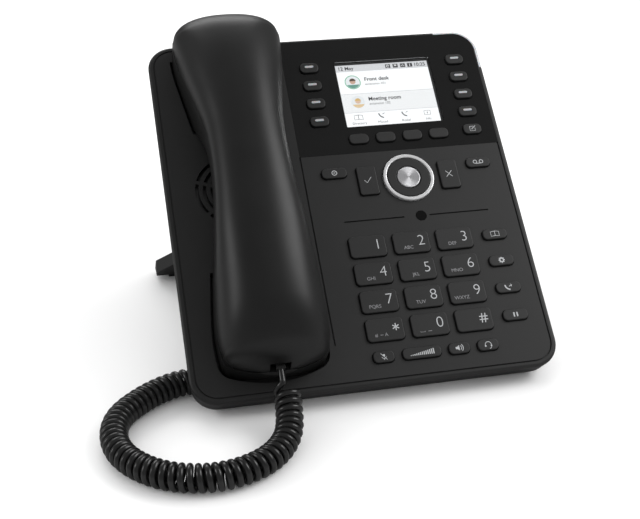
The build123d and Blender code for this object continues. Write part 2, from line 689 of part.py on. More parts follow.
leg = extrude(leg_plane * leg_outline(0), STAND_THICKNESS)
channel = extrude(leg_plane * Pos(0, 0, STAND_SKIN) * leg_outline(STAND_SKIN), STAND_THICKNESS)
channel -= below(floor_level + 9)
leg -= channel
for x in (-52.0, -18.0, 18.0, 52.0):
    rib = leg_plane * Pos(x, leg_length / 2 + 8, STAND_THICKNESS / 2) * Box(2.0, leg_length, STAND_THICKNESS)
    leg += rib & extrude(leg_plane * leg_outline(0), STAND_THICKNESS)
plate = block(0, stand_y, STAND_NECK, STAND_PLATE_LENGTH, plate_back, BULGE_BACK, 6.0)
stand = (leg - block(0, stand_y, 400, 400, plate_back, 50)) + plate
stand -= below(floor_level + PAD_THICKNESS)
hook_slots = []
for x in (-32.0, 32.0):
    for y in (stand_y - 10, stand_y + 8):
        inside = BULGE_BACK + COVER_THICKNESS
        stand += block(x, y, HOOK_WIDTH, HOOK_STEM, BULGE_BACK - 1, inside + HOOK_GAP)
        lip_middle = y - HOOK_STEM / 2 + (HOOK_STEM + HOOK_LIP) / 2
        stand += block(x, lip_middle, HOOK_WIDTH, HOOK_STEM + HOOK_LIP, inside + HOOK_GAP, inside + HOOK_GAP + 2)
        slot_length = HOOK_STEM + STAND_TRAVEL + 2 * HOOK_GAP
        slot_middle = y + HOOK_STEM / 2 + HOOK_GAP - slot_length / 2
        hook_slots.append(
            block(x, slot_middle, HOOK_WIDTH + 2 * HOOK_GAP, slot_length, BULGE_BACK - 5, inside + 1)
        )
cover = cover - hook_slots
parts["rear_cover"] = cover
parts["stand"] = stand

stand_pads = []
for x in (-75.0, 75.0):
    strip = leg_plane * Pos(x, leg_length, STAND_THICKNESS / 2) * Box(29.0, 40.0, STAND_THICKNESS)
    stand_pads.append((strip & below(floor_level + PAD_THICKNESS)) - below(floor_level))
parts["stand_feet"] = Part() + stand_pads

# ---- plugs on the cord's two ends ----

cord_end_y = HANDSET_BOTTOM - 0.4
plug_start = HANDSET_BOTTOM + 11.0
low_z = JACK_HEIGHT - PLUG_HEIGHT / 2
plug = block(HANDSET_X, plug_start + PLUG_LENGTH / 2, PLUG_WIDTH, PLUG_LENGTH, low_z, low_z + PLUG_HEIGHT)
stub_length = plug_start - cord_end_y
stub_low = JACK_HEIGHT - WIRE_DIAMETER / 2
plug += block(HANDSET_X, plug_start - stub_length / 2, 4.6, stub_length, stub_low, stub_low + WIRE_DIAMETER, 0)
parts["cord_plug_handset"] = plug

base_socket_x, base_socket_z = socket_middles[0]
low_z = base_socket_z - PLUG_HEIGHT / 2
plug_y = socket_face - 0.8
base_plug = block(base_socket_x, plug_y + PLUG_LENGTH / 2, PLUG_WIDTH, PLUG_LENGTH, low_z, low_z + PLUG_HEIGHT)
boot_length = 5.0
base_plug += Pos(base_socket_x, plug_y - boot_length, base_socket_z) * extrude(
    Plane.XZ * Circle(2.4), -boot_length
)
parts["cord_plug_base"] = base_plug

# ---- set the telephone down: tilt it, rest it on its feet and centre it ----

cord_parts = ["cord_plug_handset", "cord_plug_base"]
standing = {
    name: Pos(0, 0, BODY_LIFT) * Rot(X=BODY_TILT) * shape
    for name, shape in parts.items() if name not in cord_parts
}
boxes = [shape.bounding_box() for shape in standing.values()]
centre_x = (min(box.min.X for box in boxes) + max(box.max.X for box in boxes)) / 2
centre_y = (min(box.min.Y for box in boxes) + max(box.max.Y for box in boxes)) / 2
to_floor = Pos(-centre_x, -centre_y, BODY_LIFT) * Rot(X=BODY_TILT)
finished = {name: to_floor * shape for name, shape in parts.items()}

# ---- curly cord: points of its middle line, on the floor frame ----


def rounded_path(points):
    """Straight runs joined by tangent arcs, each as large as its two runs allow."""
    corners = [Vector(*point) for point in points]
    radii = []
    for before, corner, after in zip(corners, corners[1:], corners[2:]):
        half_turn = math.radians((corner - before).get_angle(after - corner)) / 2
        shorter = min((corner - before).length, (after - corner).length)
        radii.append(0.45 * shorter / math.tan(half_turn))
    print("radii", [round(radius, 1) for radius in radii])
    return FilletPolyline(*corners, radius=radii)


def swept_tube(points, diameter):
    path = rounded_path(points)
    section = Plane(origin=path @ 0, z_dir=path % 0) * Circle(diameter / 2)
    solid = sweep(section, path=path)
    print("tube", diameter, "length", path.length, "volume ratio", solid.volume / section.area / path.length)
    return solid


coil_route = [
    (-50.0, -88.33, 24.88),
    (-50.0, -103.3, 12.3),
    (-54.5, -119.6, 6.8),
    (-69.0, -135.1, 6.8),
    (-92.0, -141.1, 6.8),
    (-116.0, -133.1, 6.8),
    (-132.5, -112.1, 6.8),
    (-133.0, -86.1, 6.8),
    (-117.0, -67.6, 6.8),
    (-98.0, -56.6, 6.8),
    (-80.0, -57.6, 6.8),
]
lead_route = [
    (-80.0, -57.6, 6.8),
    (-70.5, -60.1, 8.0),
    (-63.0, -59.6, 11.0),
    (-60.0, -55.3, 15.65),
    (-60.0, -51.72, 18.66),
]
finished["handset_cord"] = swept_tube(coil_route, CORD_DIAMETER) + swept_tube(lead_route, WIRE_DIAMETER)

for name, shape in finished.items():
    export_step(shape, f"parts/{name}.step")
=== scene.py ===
import json
import math

import bmesh
import bpy
import numpy as np
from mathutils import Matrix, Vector


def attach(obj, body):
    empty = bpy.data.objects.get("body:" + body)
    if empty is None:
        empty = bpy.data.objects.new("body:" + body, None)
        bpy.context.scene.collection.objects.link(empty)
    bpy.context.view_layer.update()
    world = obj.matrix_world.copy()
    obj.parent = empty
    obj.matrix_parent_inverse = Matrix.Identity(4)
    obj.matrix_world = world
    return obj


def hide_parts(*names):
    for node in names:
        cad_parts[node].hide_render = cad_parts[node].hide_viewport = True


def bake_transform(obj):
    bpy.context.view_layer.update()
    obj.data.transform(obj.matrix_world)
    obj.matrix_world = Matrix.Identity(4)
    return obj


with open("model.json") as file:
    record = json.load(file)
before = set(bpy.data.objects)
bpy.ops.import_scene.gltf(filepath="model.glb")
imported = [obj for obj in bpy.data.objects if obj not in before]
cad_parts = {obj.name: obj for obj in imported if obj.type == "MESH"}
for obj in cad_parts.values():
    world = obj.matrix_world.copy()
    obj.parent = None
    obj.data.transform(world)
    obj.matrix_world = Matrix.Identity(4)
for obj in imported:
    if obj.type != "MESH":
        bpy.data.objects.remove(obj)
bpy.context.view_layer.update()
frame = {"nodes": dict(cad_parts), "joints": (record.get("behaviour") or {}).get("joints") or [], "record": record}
nodes = frame["nodes"]
joints = {joint["name"]: joint for joint in frame["joints"]}


# ---- camera ----
# A portrait lens looks down on the telephone from the front left, as a person seated
# at the desk would see it.

camera_data = bpy.data.cameras.new("camera")
camera_data.lens = 63.53
camera_data.sensor_width = 36.0
camera = bpy.data.objects.new("camera", camera_data)
camera.location = (-0.13626, -0.54704, 0.30658)
look_at = Vector((-0.01364, -0.00544, 0.04255))
camera.rotation_euler = (look_at - camera.location).to_track_quat("-Z", "Y").to_euler()
bpy.context.scene.collection.objects.link(camera)
bpy.context.scene.camera = camera


# ---- studio ----
# A white paper sweep lies on the table and runs off into a white room. Cloth-covered lamps
# stand to the left, to the right and behind, all turned to the telephone.

SWEEP = 4.0
PAPER_SEEN = 0.92
PAPER_BOUNCE = 0.35
ROOM_LIGHT = 1.0
ROOM_IN_REFLECTIONS = 0.20
LAMP_AIM = (0, 0, 0.08)

bpy.context.scene.view_settings.view_transform = "Standard"

sweep_mesh = bpy.data.meshes.new("paper_sweep")
sweep_mesh.from_pydata(
    [(-SWEEP, -SWEEP, 0), (SWEEP, -SWEEP, 0), (SWEEP, SWEEP, 0), (-SWEEP, SWEEP, 0)], [], [(0, 1, 2, 3)]
)
sweep = bpy.data.objects.new("paper_sweep", sweep_mesh)
bpy.context.scene.collection.objects.link(sweep)

paper = bpy.data.materials.new("white_paper")
paper.use_nodes = True
paper_shader = paper.node_tree.nodes["Principled BSDF"]
seen = paper.node_tree.nodes.new("ShaderNodeLightPath")
paper_tone = paper.node_tree.nodes.new("ShaderNodeMix")
paper_tone.data_type = "RGBA"
paper_tone.inputs["A"].default_value = (PAPER_BOUNCE, PAPER_BOUNCE, PAPER_BOUNCE, 1)
paper_tone.inputs["B"].default_value = (PAPER_SEEN, PAPER_SEEN, PAPER_SEEN, 1)
paper.node_tree.links.new(seen.outputs["Is Camera Ray"], paper_tone.inputs["Factor"])
paper.node_tree.links.new(paper_tone.outputs["Result"], paper_shader.inputs["Base Color"])
paper_shader.inputs["Roughness"].default_value = 0.9
paper_shader.inputs["Specular IOR Level"].default_value = 0.1
sweep_mesh.materials.append(paper)

world = bpy.data.worlds.new("white_room")
world.use_nodes = True
room_light = world.node_tree.nodes["Background"]
room_light.inputs["Color"].default_value = (1, 1, 1, 1)
light_path = world.node_tree.nodes.new("ShaderNodeLightPath")
room_strength = world.node_tree.nodes.new("ShaderNodeMapRange")
room_strength.inputs["To Min"].default_value = ROOM_LIGHT
room_strength.inputs["To Max"].default_value = ROOM_IN_REFLECTIONS
world.node_tree.links.new(light_path.outputs["Is Glossy Ray"], room_strength.inputs["Value"])
world.node_tree.links.new(room_strength.outputs["Result"], room_light.inputs["Strength"])
bpy.context.scene.world = world


def soft_lamp(name, place, aim, width, height, power):
    """Rectangular lamp at place, turned to aim, in metres and watts."""
    data = bpy.data.lights.new(name, "AREA")
    data.shape = "RECTANGLE"
    data.size = width
    data.size_y = height
    data.energy = power
    lamp = bpy.data.objects.new(name, data)
    lamp.location = place
    lamp.rotation_euler = (Vector(aim) - lamp.location).to_track_quat("-Z", "Y").to_euler()
    bpy.context.scene.collection.objects.link(lamp)
    return lamp


soft_lamp("left_lamp", (-1.3, 0.0, 0.65), LAMP_AIM, 0.5, 0.5, 2.6)
soft_lamp("right_lamp", (1.15, -0.15, 1.1), LAMP_AIM, 0.9, 0.9, 9.5)
soft_lamp("back_lamp", (-0.1, 1.5, 1.3), LAMP_AIM, 1.8, 0.6, 12)


# ---- curly handset cord ----
# A round black PVC lead is wound into a springy coil that lies in one open loop on the desk,
# plugged into the handset's mouth end and into the socket board under the housing.

RIGHT = Vector((1, 0, 0))
OUT = Vector(joints["handset_lift"]["axis"])
UP = OUT.cross(RIGHT)

WIRE_DIAMETER = 0.0033
COIL_RADIUS = 0.0051
COIL_PITCH = 0.0039
TURN_STEPS = 30
coil_route = [
    (-0.0500, -0.08833, 0.02488),
    (-0.0500, -0.1033, 0.0123),
    (-0.0545, -0.1196, 0.0068),
    (-0.0690, -0.1351, 0.0068),
    (-0.0920, -0.1411, 0.0068),
    (-0.1160, -0.1331, 0.0068),
    (-0.1325, -0.1121, 0.0068),
    (-0.1330, -0.0861, 0.0068),
    (-0.1170, -0.0676, 0.0068),
    (-0.0980, -0.0566, 0.0068),
    (-0.0800, -0.0576, 0.0068),
    (-0.0705, -0.0601, 0.0080),
    (-0.0630, -0.0596, 0.0110),
    (-0.0600, -0.0553, 0.01565),
    (-0.0600, -0.05172, 0.01866),
]


def new_object(name, mesh):
    piece = bpy.data.objects.new(name, mesh)
    bpy.context.scene.collection.objects.link(piece)
    return piece


def evaluated_mesh(piece):
    """Plain mesh of a piece as its modifiers or curve settings shape it."""
    bpy.context.view_layer.update()
    evaluated = piece.evaluated_get(bpy.context.evaluated_depsgraph_get())
    return bpy.data.meshes.new_from_object(evaluated)


def route_line(name, points, steps):
    """Points along a smooth NURBS spline with these control points."""
    curve = bpy.data.curves.new(name, "CURVE")
    curve.dimensions = "3D"
    spline = curve.splines.new("NURBS")
    spline.points.add(len(points) - 1)
    for knot, point in zip(spline.points, points):
        knot.co = (*point, 1)
    spline.order_u = 3
    spline.use_endpoint_u = True
    spline.resolution_u = steps
    holder = new_object(name, curve)
    mesh = evaluated_mesh(holder)
    line = [vertex.co.copy() for vertex in mesh.vertices]
    bpy.data.objects.remove(holder)
    bpy.data.meshes.remove(mesh)
    return line


def evenly(line, step):
    """The same line as points that are one step apart."""
    points = np.array([tuple(point) for point in line])
    along = np.concatenate([[0.0], np.cumsum(np.linalg.norm(np.diff(points, axis=0), axis=1))])
    places = np.linspace(0, along[-1], max(2, round(along[-1] / step)))
    return [Vector(np.interp(place, along, points[:, axis]) for axis in range(3)) for place in places]


def tube_mesh(name, line, radius, sides):
    """Closed round tube along a line, with flat end caps and no twist."""
    mesh = bpy.data.meshes.new(name)
    verts = []
    faces = []
    side = (line[1] - line[0]).orthogonal().normalized()
    for index, point in enumerate(line):
        ahead = line[min(index + 1, len(line) - 1)]
        behind = line[max(index - 1, 0)]
        tangent = (ahead - behind).normalized()
        side = (side - tangent * side.dot(tangent)).normalized()
        other = tangent.cross(side)
        for step in range(sides):
            angle = 2 * math.pi * step / sides
            verts.append(point + radius * (math.cos(angle) * side + math.sin(angle) * other))
    for ring in range(len(line) - 1):
        for step in range(sides):
            a = ring * sides + step
            b = ring * sides + (step + 1) % sides
            faces.append((a, b, b + sides, a + sides))
    faces.append(tuple(reversed(range(sides))))
    faces.append(tuple(range((len(line) - 1) * sides, len(line) * sides)))
    mesh.from_pydata(verts, [], faces)
    mesh.shade_smooth()
    return mesh


# From the handset's plug the lead runs straight, winds up to the full coil, winds down again and
# ends in a straight rear lead.
STRAIGHT_LEAD = 0.0055
WIND_UP = 0.0070
WIND_DOWN = 0.010
CLOSE_IN = 0.008
REAR_LEAD = 0.028


def eased(share):
    """Smooth rise from 0 to 1."""
    share = min(1.0, max(0.0, share))
    return share * share * (3 - 2 * share)


step_length = COIL_PITCH / TURN_STEPS
axis_line = evenly(route_line("cord_route", coil_route, 24), step_length)
stub_points = [vertex.co for vertex in nodes["cord_plug_handset"].data.vertices]
stub_end = min(point.dot(UP) for point in stub_points)
stub_tip = [point for point in stub_points if point.dot(UP) < stub_end + 0.0002]
cord_exit = sum(stub_tip, Vector()) / len(stub_tip)
while (axis_line[0] - cord_exit).dot(UP) > 0:
    axis_line.pop(0)
side = cord_exit - axis_line[0]
exit_reach = side.length
axis_length = step_length * len(axis_line)
turned = 0.0
cord_line = []
for index, point in enumerate(axis_line):
    ahead = axis_line[min(index + 1, len(axis_line) - 1)]
    behind = axis_line[max(index - 1, 0)]
    tangent = (ahead - behind).normalized()
    side = (side - tangent * side.dot(tangent)).normalized()
    other = tangent.cross(side)
    gone = index * step_length
    to_go = axis_length - REAR_LEAD - gone
    winding = eased((gone - STRAIGHT_LEAD) / WIND_UP) * eased(to_go / WIND_DOWN)
    turned += 2 * math.pi / TURN_STEPS * winding
    reach = exit_reach + (COIL_RADIUS - exit_reach) * eased((gone - STRAIGHT_LEAD) / WIND_UP)
    reach *= eased((to_go + CLOSE_IN) / (WIND_DOWN + CLOSE_IN))
    cord_line.append(point + reach * (math.cos(turned) * side + math.sin(turned) * other))

curly_cord = new_object("curly_cord", tube_mesh("curly_cord", cord_line, WIRE_DIAMETER / 2, 12))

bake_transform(curly_cord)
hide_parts("handset_cord")


def grain_group():
    """Shared finish of moulded parts: fine spark-eroded grain, slight mottling and patchy gloss."""
    group = bpy.data.node_groups.new("moulded_grain", "ShaderNodeTree")
    for name, kind in [
        ("Dark", "NodeSocketColor"),
        ("Light", "NodeSocketColor"),
        ("Grain Per Metre", "NodeSocketFloat"),
        ("Roughness Low", "NodeSocketFloat"),
        ("Roughness High", "NodeSocketFloat"),
    ]:
        group.interface.new_socket(name, in_out="INPUT", socket_type=kind)
    for name, kind in [
        ("Colour", "NodeSocketColor"),
        ("Roughness", "NodeSocketFloat"),
        ("Height", "NodeSocketFloat"),
    ]:
        group.interface.new_socket(name, in_out="OUTPUT", socket_type=kind)
    make = group.nodes.new
    link = group.links.new
    start = make("NodeGroupInput")
    end = make("NodeGroupOutput")
    place = make("ShaderNodeTexCoord")
    grain = make("ShaderNodeTexNoise")
    grain.inputs["Detail"].default_value = 2.0
    link(place.outputs["Object"], grain.inputs["Vector"])
    link(start.outputs["Grain Per Metre"], grain.inputs["Scale"])
    mottle = make("ShaderNodeTexNoise")
    mottle.inputs["Scale"].default_value = 55.0
    mottle.inputs["Detail"].default_value = 4.0
    link(place.outputs["Object"], mottle.inputs["Vector"])
    blend = make("ShaderNodeMix")
    blend.data_type = "RGBA"
    link(mottle.outputs["Fac"], blend.inputs["Factor"])
    link(start.outputs["Dark"], blend.inputs["A"])
    link(start.outputs["Light"], blend.inputs["B"])
    spread = make("ShaderNodeMapRange")
    link(mottle.outputs["Fac"], spread.inputs["Value"])
    link(start.outputs["Roughness Low"], spread.inputs["To Min"])
    link(start.outputs["Roughness High"], spread.inputs["To Max"])
    link(blend.outputs["Result"], end.inputs["Colour"])
    link(spread.outputs["Result"], end.inputs["Roughness"])
    link(grain.outputs["Fac"], end.inputs["Height"])
    return group


moulded_grain = grain_group()


def moulded(name, dark, light, rough_low, rough_high, grain=2600.0, depth=0.00004, strength=0.5, coat=0.0):
    """Moulded plastic or rubber with the shared grain."""
    material = bpy.data.materials.new(name)
    material.use_nodes = True
    tree = material.node_tree
    shader = tree.nodes["Principled BSDF"]
    finish = tree.nodes.new("ShaderNodeGroup")
    finish.node_tree = moulded_grain
    finish.inputs["Dark"].default_value = (dark, dark, dark, 1)
    finish.inputs["Light"].default_value = (light, light, light, 1)
    finish.inputs["Grain Per Metre"].default_value = grain
    finish.inputs["Roughness Low"].default_value = rough_low
    finish.inputs["Roughness High"].default_value = rough_high
    bump = tree.nodes.new("ShaderNodeBump")
    bump.inputs["Strength"].default_value = strength
    bump.inputs["Distance"].default_value = depth
    tree.links.new(finish.outputs["Colour"], shader.inputs["Base Color"])
    tree.links.new(finish.outputs["Roughness"], shader.inputs["Roughness"])
    tree.links.new(finish.outputs["Height"], bump.inputs["Height"])
    tree.links.new(bump.outputs["Normal"], shader.inputs["Normal"])
    shader.inputs["Coat Weight"].default_value = coat
    shader.inputs["Coat Roughness"].default_value = 0.1
    return material


def finish_node(name, material):
    """Gives a CAD node its finish."""
    mesh = nodes[name].data
    mesh.materials.clear()
    mesh.materials.append(material)


cord_pvc = moulded("cord_pvc", 0.006, 0.010, 0.26, 0.36, grain=1500.0, depth=0.00002, strength=0.3, coat=0.3)
curly_cord.data.materials.append(cord_pvc)
plug_plastic = moulded("plug_plastic", 0.008, 0.012, 0.2, 0.3)
for name in ("cord_plug_handset", "cord_plug_base"):
    finish_node(name, plug_plastic)


# ---- rear cover, boards and sockets ----
# The back is closed by a ribbed cover of the same black plastic. Behind its windows the green
# main board carries black jack housings with gold-plated spring contacts.


def deck_box(name):
    """Lowest and highest corner of a CAD node along the deck's right, up and out directions."""
    points = [vertex.co for vertex in nodes[name].data.vertices]
    spans = [[point.dot(axis) for point in points] for axis in (RIGHT, UP, OUT)]
    return Vector(min(span) for span in spans), Vector(max(span) for span in spans)


def on_deck(x, y, z):
    """The place that is x to the right, y up the deck and z out of it, in metres."""
    return x * RIGHT + y * UP + z * OUT


def lay_on_deck(mesh):
    """Turns a mesh drawn in deck directions into its place."""
    for vertex in mesh.vertices:
        vertex.co = on_deck(*vertex.co)


FACE = deck_box("front_housing")[1].z
housing_plastic = moulded("housing_plastic", 0.012, 0.016, 0.44, 0.54)
stand_plastic = moulded("stand_plastic", 0.012, 0.016, 0.48, 0.58, grain=1800.0)
finish_node("rear_cover", stand_plastic)
finish_node("stand", stand_plastic)
foot_rubber = moulded("foot_rubber", 0.010, 0.018, 0.7, 0.85, grain=900.0, depth=0.0001)
finish_node("base_feet", foot_rubber)
finish_node("stand_feet", foot_rubber)
silicone = moulded("keypad_silicone", 0.28, 0.34, 0.5, 0.6)
finish_node("keypad_membrane", silicone)


def metal(name, colour, roughness, anisotropic=0.0, metallic=1.0):
    material = bpy.data.materials.new(name)
    material.use_nodes = True
    shader = material.node_tree.nodes["Principled BSDF"]
    shader.inputs["Base Color"].default_value = (*colour, 1)
    shader.inputs["Metallic"].default_value = metallic
    shader.inputs["Roughness"].default_value = roughness
    shader.inputs["Anisotropic"].default_value = anisotropic
    return material


def brushed(name, colour, rough_low, rough_high, scale, metallic=1.0):
    """Metal whose gloss varies in fine streaks."""
    material = metal(name, colour, rough_low, metallic=metallic)
    tree = material.node_tree
    shader = tree.nodes["Principled BSDF"]
    place = tree.nodes.new("ShaderNodeTexCoord")
    streaks = tree.nodes.new("ShaderNodeTexNoise")
    streaks.inputs["Scale"].default_value = scale
    streaks.inputs["Detail"].default_value = 3.0
    spread = tree.nodes.new("ShaderNodeMapRange")
    spread.inputs["To Min"].default_value = rough_low
    spread.inputs["To Max"].default_value = rough_high
    tree.links.new(place.outputs["Object"], streaks.inputs["Vector"])
    tree.links.new(streaks.outputs["Fac"], spread.inputs["Value"])
    tree.links.new(spread.outputs["Result"], shader.inputs["Roughness"])
    return material


zinc_steel = brushed("zinc_steel", (0.42, 0.42, 0.43), 0.25, 0.4, 1200.0)
finish_node("housing_screws", zinc_steel)
finish_node("loudspeaker", brushed("speaker_steel", (0.12, 0.12, 0.12), 0.35, 0.5, 600.0))


def board_finish(black_above):
    """Green solder mask, and black jack housings on the socket board behind it."""
    material = bpy.data.materials.new("circuit_board")
    material.use_nodes = True
    tree = material.node_tree
    shader = tree.nodes["Principled BSDF"]
    place = tree.nodes.new("ShaderNodeTexCoord")
    depth = tree.nodes.new("ShaderNodeVectorMath")
    depth.operation = "DOT_PRODUCT"
    depth.inputs[1].default_value = OUT
    behind = tree.nodes.new("ShaderNodeMath")
    behind.operation = "LESS_THAN"
    behind.inputs[1].default_value = black_above
    traces = tree.nodes.new("ShaderNodeTexBrick")
    traces.inputs["Scale"].default_value = 160.0
    traces.inputs["Mortar Size"].default_value = 0.03
    traces.inputs["Color1"].default_value = (0.010, 0.085, 0.035, 1)
    traces.inputs["Color2"].default_value = (0.012, 0.105, 0.042, 1)
    traces.inputs["Mortar"].default_value = (0.03, 0.16, 0.07, 1)
    blend = tree.nodes.new("ShaderNodeMix")
    blend.data_type = "RGBA"
    blend.inputs["B"].default_value = (0.012, 0.012, 0.013, 1)
    tree.links.new(place.outputs["Object"], depth.inputs[0])
    tree.links.new(place.outputs["Object"], traces.inputs["Vector"])
    tree.links.new(depth.outputs["Value"], behind.inputs[0])
    tree.links.new(behind.outputs["Value"], blend.inputs["Factor"])
    tree.links.new(traces.outputs["Color"], blend.inputs["A"])
    tree.links.new(blend.outputs["Result"], shader.inputs["Base Color"])
    shader.inputs["Roughness"].default_value = 0.35
    return material


board_foot = deck_box("main_board")[0].y
plug_low, plug_high = deck_box("cord_plug_base")
PLUG_TO_BOARD = 0.0041
socket_board_back = (plug_low.z + plug_high.z) / 2 + PLUG_TO_BOARD
finish_node("main_board", board_finish(socket_board_back - 0.0001))


def bar_row_tree():
    """Geometry nodes: a row of upright bars whose height grows evenly along the row."""
    tree = bpy.data.node_groups.new("bar_row", "GeometryNodeTree")
    tree.interface.new_socket("Geometry", in_out="OUTPUT", socket_type="NodeSocketGeometry")
    for name, kind in [
        ("Count", "NodeSocketInt"),
        ("Pitch", "NodeSocketFloat"),
        ("Bar Width", "NodeSocketFloat"),
        ("First Height", "NodeSocketFloat"),
        ("Last Height", "NodeSocketFloat"),
        ("Thickness", "NodeSocketFloat"),
        ("Finish", "NodeSocketMaterial"),
    ]:
        tree.interface.new_socket(name, in_out="INPUT", socket_type=kind)
    make = tree.nodes.new
    link = tree.links.new
    start = make("NodeGroupInput")
    end = make("NodeGroupOutput")
    step = make("ShaderNodeCombineXYZ")
    link(start.outputs["Pitch"], step.inputs["X"])
    row = make("GeometryNodeMeshLine")
    link(start.outputs["Count"], row.inputs["Count"])
    link(step.outputs["Vector"], row.inputs["Offset"])
    bar = make("GeometryNodeMeshCube")
    raised = make("GeometryNodeTransform")
    raised.inputs["Translation"].default_value = (0, 0.5, 0)
    link(bar.outputs["Mesh"], raised.inputs["Geometry"])
    index = make("GeometryNodeInputIndex")
    last = make("ShaderNodeMath")
    last.operation = "SUBTRACT"
    last.inputs[1].default_value = 1.0
    link(start.outputs["Count"], last.inputs[0])
    height = make("ShaderNodeMapRange")
    link(index.outputs["Index"], height.inputs["Value"])
    link(last.outputs["Value"], height.inputs["From Max"])
    link(start.outputs["First Height"], height.inputs["To Min"])
    link(start.outputs["Last Height"], height.inputs["To Max"])
    size = make("ShaderNodeCombineXYZ")
    link(start.outputs["Bar Width"], size.inputs["X"])
    link(height.outputs["Result"], size.inputs["Y"])
    link(start.outputs["Thickness"], size.inputs["Z"])
    placed = make("GeometryNodeInstanceOnPoints")
    link(row.outputs["Mesh"], placed.inputs["Points"])
    link(raised.outputs["Geometry"], placed.inputs["Instance"])
    link(size.outputs["Vector"], placed.inputs["Scale"])
    real = make("GeometryNodeRealizeInstances")
    link(placed.outputs["Instances"], real.inputs["Geometry"])
    painted = make("GeometryNodeSetMaterial")
    link(real.outputs["Geometry"], painted.inputs["Geometry"])
    link(start.outputs["Finish"], painted.inputs["Material"])
    link(painted.outputs["Geometry"], end.inputs["Geometry"])
    return tree


bar_row = bar_row_tree()


def grown(name, tree, **sizes):
    """Mesh that a geometry-nodes tree makes from these sizes."""
    holder = new_object(name, bpy.data.meshes.new(name))
    modifier = holder.modifiers.new("grow", "NODES")
    modifier.node_group = tree
    for item in tree.interface.items_tree:
        key = item.name.lower().replace(" ", "_")
        if item.in_out == "INPUT" and key in sizes:
            modifier[item.identifier] = sizes[key]
    mesh = evaluated_mesh(holder)
    bpy.data.objects.remove(holder)
    mesh.name = name
    return mesh


def joined(name, meshes):
    """One mesh from several, with their materials and attributes."""
    merged = bmesh.new()
    for mesh in meshes:
        merged.from_mesh(mesh)
    result = bpy.data.meshes.new(name)
    merged.to_mesh(result)
    merged.free()
    for mesh in meshes:
        bpy.data.meshes.remove(mesh)
    return result


def shifted(mesh, x, y, z):
    for vertex in mesh.vertices:
        vertex.co += Vector((x, y, z))
    return mesh


gold = brushed("gold_plate", (0.83, 0.62, 0.27), 0.2, 0.3, 2000.0)
contact_rows = []
mounts = {mount["name"]: mount for mount in frame["record"]["mounts"]}
socket_places = [((plug_low.x + plug_high.x) / 2, 4)]
for name, ways in [("headset_socket", 4), ("network_socket", 8), ("computer_socket", 8)]:
    socket_places.append((mounts[name]["pos_m"][0], ways))
CONTACT_PITCH = 0.00102
CONTACT_LENGTH = 0.007
CONTACT_INSET = 0.0022
LEAD_JACK_DEPTH = 0.0012
NETWORK_JACK_DEPTH = 0.0028
for x, ways in socket_places:
    row = grown(
        "contacts", bar_row, count=ways, pitch=CONTACT_PITCH, bar_width=0.00045,
        first_height=CONTACT_LENGTH, last_height=CONTACT_LENGTH, thickness=0.0003, finish=gold,
    )
    start_x = x - (ways - 1) * CONTACT_PITCH / 2
    depth = LEAD_JACK_DEPTH if ways == 4 else NETWORK_JACK_DEPTH
    contact_rows.append(shifted(row, start_x, board_foot + CONTACT_INSET, socket_board_back - depth))
contacts_mesh = joined("jack_contacts", contact_rows)
lay_on_deck(contacts_mesh)
contacts_mesh.materials.append(gold)
jack_contacts = new_object("jack_contacts", contacts_mesh)
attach(jack_contacts, "housing")


# ---- front housing ----
# The deck is one moulding of fine-grained black plastic, with wells for the handset's ends, a
# slotted loudspeaker grille and thin seam lines pressed into its face.

finish_node("front_housing", housing_plastic)
finish_node("hook_switch", moulded("hook_plastic", 0.012, 0.018, 0.35, 0.45))


# ---- display ----
# A polished black faceplate frames a clear lens. Under it the liquid crystal panel glows
# with a status line, two contacts and a row of soft-key labels.

gloss_plastic = moulded("gloss_plastic", 0.005, 0.007, 0.10, 0.16, grain=900.0, depth=0.00001, strength=0.05)
finish_node("display_faceplate", gloss_plastic)
panel_metal = brushed("panel_frame", (0.35, 0.35, 0.36), 0.3, 0.45, 700.0)
finish_node("lcd_module", panel_metal)

clear_lens = bpy.data.materials.new("clear_lens")
clear_lens.use_nodes = True
lens_shader = clear_lens.node_tree.nodes["Principled BSDF"]
lens_shader.inputs["Roughness"].default_value = 0.0
lens_shader.inputs["IOR"].default_value = 1.49
lens_shader.inputs["Transmission Weight"].default_value = 1.0
lens_tree = clear_lens.node_tree
lens_place = lens_tree.nodes.new("ShaderNodeTexCoord")
lens_climb = lens_tree.nodes.new("ShaderNodeVectorMath")
lens_climb.operation = "DOT_PRODUCT"
lens_climb.inputs[1].default_value = UP
smoked = lens_tree.nodes.new("ShaderNodeMath")
smoked.operation = "GREATER_THAN"
smoked.inputs[1].default_value = deck_box("display_faceplate")[0].y
tint = lens_tree.nodes.new("ShaderNodeMix")
tint.data_type = "RGBA"
tint.inputs["A"].default_value = (0.0, 0.0, 0.0, 1)
tint.inputs["B"].default_value = (0.97, 0.98, 0.98, 1)
lens_tree.links.new(lens_place.outputs["Object"], lens_climb.inputs[0])
lens_tree.links.new(lens_climb.outputs["Value"], smoked.inputs[0])
lens_tree.links.new(smoked.outputs["Value"], tint.inputs["Factor"])
lens_tree.links.new(tint.outputs["Result"], lens_shader.inputs["Base Color"])
finish_node("window_lenses", clear_lens)

MM = 0.001
lcd_low, lcd_high = deck_box("lcd_module")
screen_x = (lcd_low.x + lcd_high.x) / 2
screen_y = (lcd_low.y + lcd_high.y) / 2
SCREEN_WIDTH = 54.0
SCREEN_HEIGHT = 40.5


def shade_faces(mesh, colour):
    """Writes one colour on the whole mesh, in the attribute that printed finishes read."""
    ink = mesh.color_attributes.new("ink", "FLOAT_COLOR", "CORNER")
    for corner in ink.data:
        corner.color = (*colour, 1)
    return mesh


